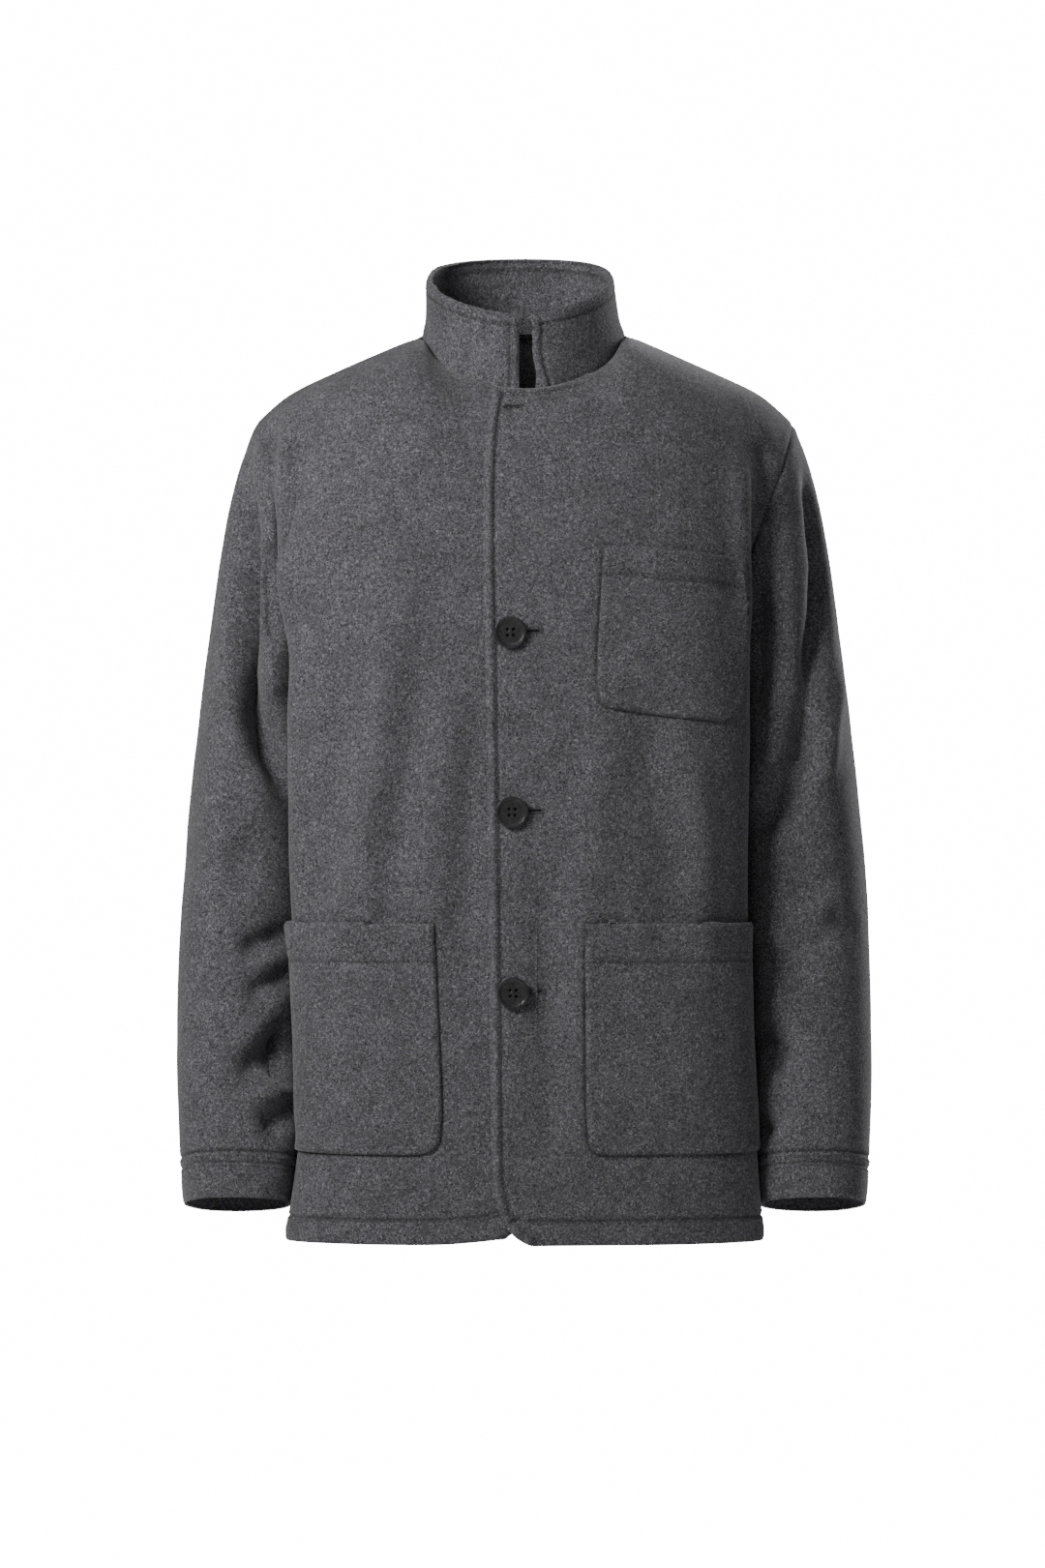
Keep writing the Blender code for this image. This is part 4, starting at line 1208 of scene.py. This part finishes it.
# %% Worms, hairs and clouds
fineness, place = flecks_in.outputs["Fineness"], add_node(flecks, "TexCoord", {})["Object"]
worms = add_node(flecks, "TexNoise", {
    "Vector": place, "Scale": fineness, "Detail": 2.0, "Roughness": 0.62, "Distortion": 1.6})["Fac"]
clouds = add_node(flecks, "TexNoise", {"Vector": place, "Scale": 46.0, "Detail": 3.0})["Fac"]
hairs = add_node(flecks, "TexNoise", {
    "Vector": place, "Scale": work_out(flecks, "MULTIPLY", fineness, 0.5), "Detail": 0.0,
    "Distortion": 0.9})["Fac"]
from_middle = work_out(flecks, "ABSOLUTE", work_out(flecks, "SUBTRACT", hairs, 0.5))


def stretched(tree, value, **ends):
    """A value stretched from one range to another. From_Min stands for the socket From Min."""
    sockets = {name.replace("_", " "): end for name, end in ends.items()}
    return add_node(tree, "MapRange", {"Value": value, **sockets})["Result"]


hair_line = stretched(flecks, from_middle, From_Max=0.05, To_Min=0.75, To_Max=0.0)
short_hair = work_out(flecks, "MULTIPLY", hair_line, stretched(flecks, worms, From_Min=0.44, From_Max=0.56))
pale_share = work_out(flecks, "MAXIMUM", stretched(flecks, worms, From_Min=0.52, From_Max=0.72), short_hair)
dark_share = stretched(flecks, worms, From_Min=0.34, From_Max=0.5)
cloud_tone = stretched(flecks, clouds, From_Min=0.3, From_Max=0.7, To_Min=0.86, To_Max=1.12)
ground = mix_colours(flecks, "MIX", dark_share, flecks_in.outputs["Dark hair"], flecks_in.outputs["Ground"])
mottled = mix_colours(flecks, "MIX", pale_share, ground, flecks_in.outputs["Pale hair"])
put(flecks, flecks_out.inputs["Colour"], mix_colours(flecks, "MULTIPLY", 1.0, mottled, cloud_tone))
put(flecks, flecks_out.inputs["Nap"], worms)
print("felted flecks:", len(flecks.nodes), "nodes")

# %% [markdown]
# Melton is matte with a soft nap, so its shader is rough with a little sheen. The stitch channels, seam
# grooves, pocket outlines and buttonhole slits are darkened with painted shade, where their shadows fall, and
# the nap itself lifts the surface as a fine bump.

# %% The wool
WOOL_FINENESS = 700.0
WOOL_DARK, WOOL_GROUND = (0.014, 0.0135, 0.0155, 1), (0.058, 0.056, 0.063, 1)
WOOL_PALE = (0.22, 0.217, 0.23, 1)
# Painted shade: the tone of the wool at the deepest point of a groove, where the shadow is darkest.
PAINTED_SHADE_DARKEST = 0.25
NAP_STRENGTH, NAP_HIGH = 0.55, 0.7 * MM


def new_material(name, **fixed):
    """A material with its Principled shader's constant sockets set."""
    material = bpy.data.materials.new(name)
    material.use_nodes = True
    shader = material.node_tree.nodes["Principled BSDF"]
    for socket, value in fixed.items():
        shader.inputs[socket.replace("_", " ")].default_value = value
    return material, material.node_tree, shader


def place_flecks(tree, fineness, dark, ground, pale):
    """The felted flecks in these greys, as a Colour and a Nap."""
    inputs = {"Fineness": fineness, "Dark hair": dark, "Ground": ground, "Pale hair": pale}
    return add_node(tree, "Group", inputs, node_tree=flecks)


def nap_bump(tree, shader, height, strength, distance):
    """A fine bump from this height."""
    inputs = {"Strength": strength, "Distance": distance, "Height": height}
    put(tree, shader.inputs["Normal"], add_node(tree, "Bump", inputs)["Normal"])


melton, melton_tree, melton_shader = new_material(
    "charcoal_melton", Roughness=0.92, Sheen_Weight=0.18, Sheen_Roughness=0.45, Specular_IOR_Level=0.18)
wool = place_flecks(melton_tree, WOOL_FINENESS, WOOL_DARK, WOOL_GROUND, WOOL_PALE)
# Painted shade: the stored shadow of grooves, seams, pocket outlines and slits darkens the wool's colour.
painted_shade = add_node(melton_tree, "Attribute", {}, attribute_name="painted_shade")["Fac"]
painted_shade_tone = stretched(melton_tree, painted_shade, To_Min=1.0, To_Max=PAINTED_SHADE_DARKEST)
wool_with_painted_shade = mix_colours(melton_tree, "MULTIPLY", 1.0, wool["Colour"], painted_shade_tone)
put(melton_tree, melton_shader.inputs["Base Color"], wool_with_painted_shade)
nap_bump(melton_tree, melton_shader, wool["Nap"], NAP_STRENGTH, NAP_HIGH)
print("wool nodes:", len(melton_tree.nodes))

# %% [markdown]
# The thread is a shade darker than the wool and has a faint gloss. The buttons are polished black with the
# slightest mottle and fine scuffs, so that their highlights break up as on real horn or resin.

# %% Thread and buttons
TWIST_FINENESS, TWIST_STRENGTH, TWIST_HIGH = 2400.0, 0.4, 0.3 * MM
THREAD_GREYS = (0.018, 0.018, 0.02, 1), (0.04, 0.039, 0.043, 1), (0.08, 0.078, 0.085, 1)
MOTTLE_FINENESS = 260.0
RESIN_GREYS = (0.012, 0.012, 0.013, 1), (0.017, 0.017, 0.018, 1), (0.027, 0.026, 0.027, 1)
POLISHED, SCUFFED = 0.2, 0.42

thread, thread_tree, thread_shader = new_material("charcoal_thread", Roughness=0.7, Specular_IOR_Level=0.3)
twist = place_flecks(thread_tree, TWIST_FINENESS, *THREAD_GREYS)
put(thread_tree, thread_shader.inputs["Base Color"], twist["Colour"])
nap_bump(thread_tree, thread_shader, twist["Nap"], TWIST_STRENGTH, TWIST_HIGH)

resin, resin_tree, resin_shader = new_material(
    "black_resin", Specular_IOR_Level=0.5, Coat_Weight=0.7, Coat_Roughness=0.1)
mottle = place_flecks(resin_tree, MOTTLE_FINENESS, *RESIN_GREYS)
put(resin_tree, resin_shader.inputs["Base Color"], mottle["Colour"])
scuff = stretched(resin_tree, mottle["Nap"], To_Min=POLISHED, To_Max=SCUFFED)
put(resin_tree, resin_shader.inputs["Roughness"], scuff)
print("materials:", melton.name, thread.name, resin.name)


# %% Dress the pieces
def dress(piece, material):
    piece.data.materials.clear()
    piece.data.materials.append(material)


for pieces, material in ((cloth, melton), (sewing, thread), (buttons, resin)):
    for piece in pieces.values():
        dress(piece, material)
    print(material.name, "on", len(pieces), "pieces")

# %% [markdown]
# Every piece is hung on the frame's root, and the CAD parts that the cloth and the buttons stand for are
# hidden.

# %% Tie the pieces to the frame
for node, piece in cloth.items():
    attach(piece, "root")
    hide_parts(node)
for piece in sewing.values():
    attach(piece, "root")
for node, piece in buttons.items():
    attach(piece, "root")
    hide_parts(node)

# %% [markdown]
# The studio is plain: a pale floor well below the hem, and a white sky that only the camera sees at full
# strength. The key is a soft lamp from the viewer's left. A weak fill comes from the right and another from
# above, and a lamp behind rakes over the folds of the back.

# %% Floor, light and camera
FLOOR_LEVEL, FLOOR_SIZE = -1.6, 60.0
WHITE, DIM_SKY = 16.0, 0.09
MIDDLE = Vector((0, 0, -0.36))
LAMPS = {
    "key": ((-1.15, -1.32, 0.5), 0.7, 49), "fill": ((2.6, -2.6, 0.2), 2.2, 10),
    "top": ((-0.3, -2.6, 1.25), 0.7, 6), "behind": ((1.9, 1.9, 0.9), 0.9, 80),
}
CAMERA_DISTANCE, CAMERA_HEIGHT, CAMERA_ASIDE = 4.0, -0.362, -0.0016
PHOTO_ROWS, ROW_HIGH = 1621, 0.78
PICTURE_HEIGHT = PHOTO_ROWS * ROW_HIGH * MM
LONG_SENSOR = 36.0


def seen_strength(tree, lit, seen):
    """A strength that the camera sees as one value, while the jacket is lit by another."""
    ray = add_node(tree, "LightPath", {})["Is Camera Ray"]
    return stretched(tree, ray, To_Min=lit, To_Max=seen)


bpy.ops.object.select_all(action="DESELECT")
bpy.ops.mesh.primitive_plane_add(size=FLOOR_SIZE, location=(0, 0, FLOOR_LEVEL))
floor = bpy.context.active_object
floor.name = "floor"
paper, paper_tree, paper_shader = new_material(
    "pale_floor", Base_Color=(0.9, 0.9, 0.9, 1), Roughness=0.95, Emission_Color=(1, 1, 1, 1))
put(paper_tree, paper_shader.inputs["Emission Strength"], seen_strength(paper_tree, 0.0, WHITE))
dress(floor, paper)
floor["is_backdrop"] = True

for name, (place, size, power) in LAMPS.items():
    light = bpy.data.lights.new(name, "AREA")
    light.size = size
    light.energy = power
    holder = bpy.data.objects.new(name, light)
    holder.location = place
    holder.rotation_euler = (MIDDLE - Vector(place)).to_track_quat("-Z", "Y").to_euler()
    bpy.context.scene.collection.objects.link(holder)

world = bpy.data.worlds.new("studio")
bpy.context.scene.world = world
world.use_nodes = True
sky = world.node_tree.nodes["Background"]
put(world.node_tree, sky.inputs["Color"], (1, 1, 1, 1))
put(world.node_tree, sky.inputs["Strength"], seen_strength(world.node_tree, DIM_SKY, WHITE))

camera = bpy.data.objects.new("camera", bpy.data.cameras.new("camera"))
camera.location = (CAMERA_ASIDE, -CAMERA_DISTANCE, CAMERA_HEIGHT)
camera.rotation_euler = (math.pi / 2, 0, 0)
camera.data.sensor_width = LONG_SENSOR
camera.data.lens = LONG_SENSOR / 2 / (PICTURE_HEIGHT / 2 / CAMERA_DISTANCE)
bpy.context.scene.collection.objects.link(camera)
bpy.context.scene.camera = camera
print("camera lens:", round(camera.data.lens, 1))

# %% [markdown]
# Last, the visual model's box is printed beside the CAD model's, as how far the cloth grew past the jacket's
# size on each side.

# %% Check the size and finish
look_low, look_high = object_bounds()
for side, growth in (("low", cad_low - look_low), ("high", look_high - cad_high)):
    print("grew at the", side, "sides by mm:", [round(v / MM, 1) for v in growth])
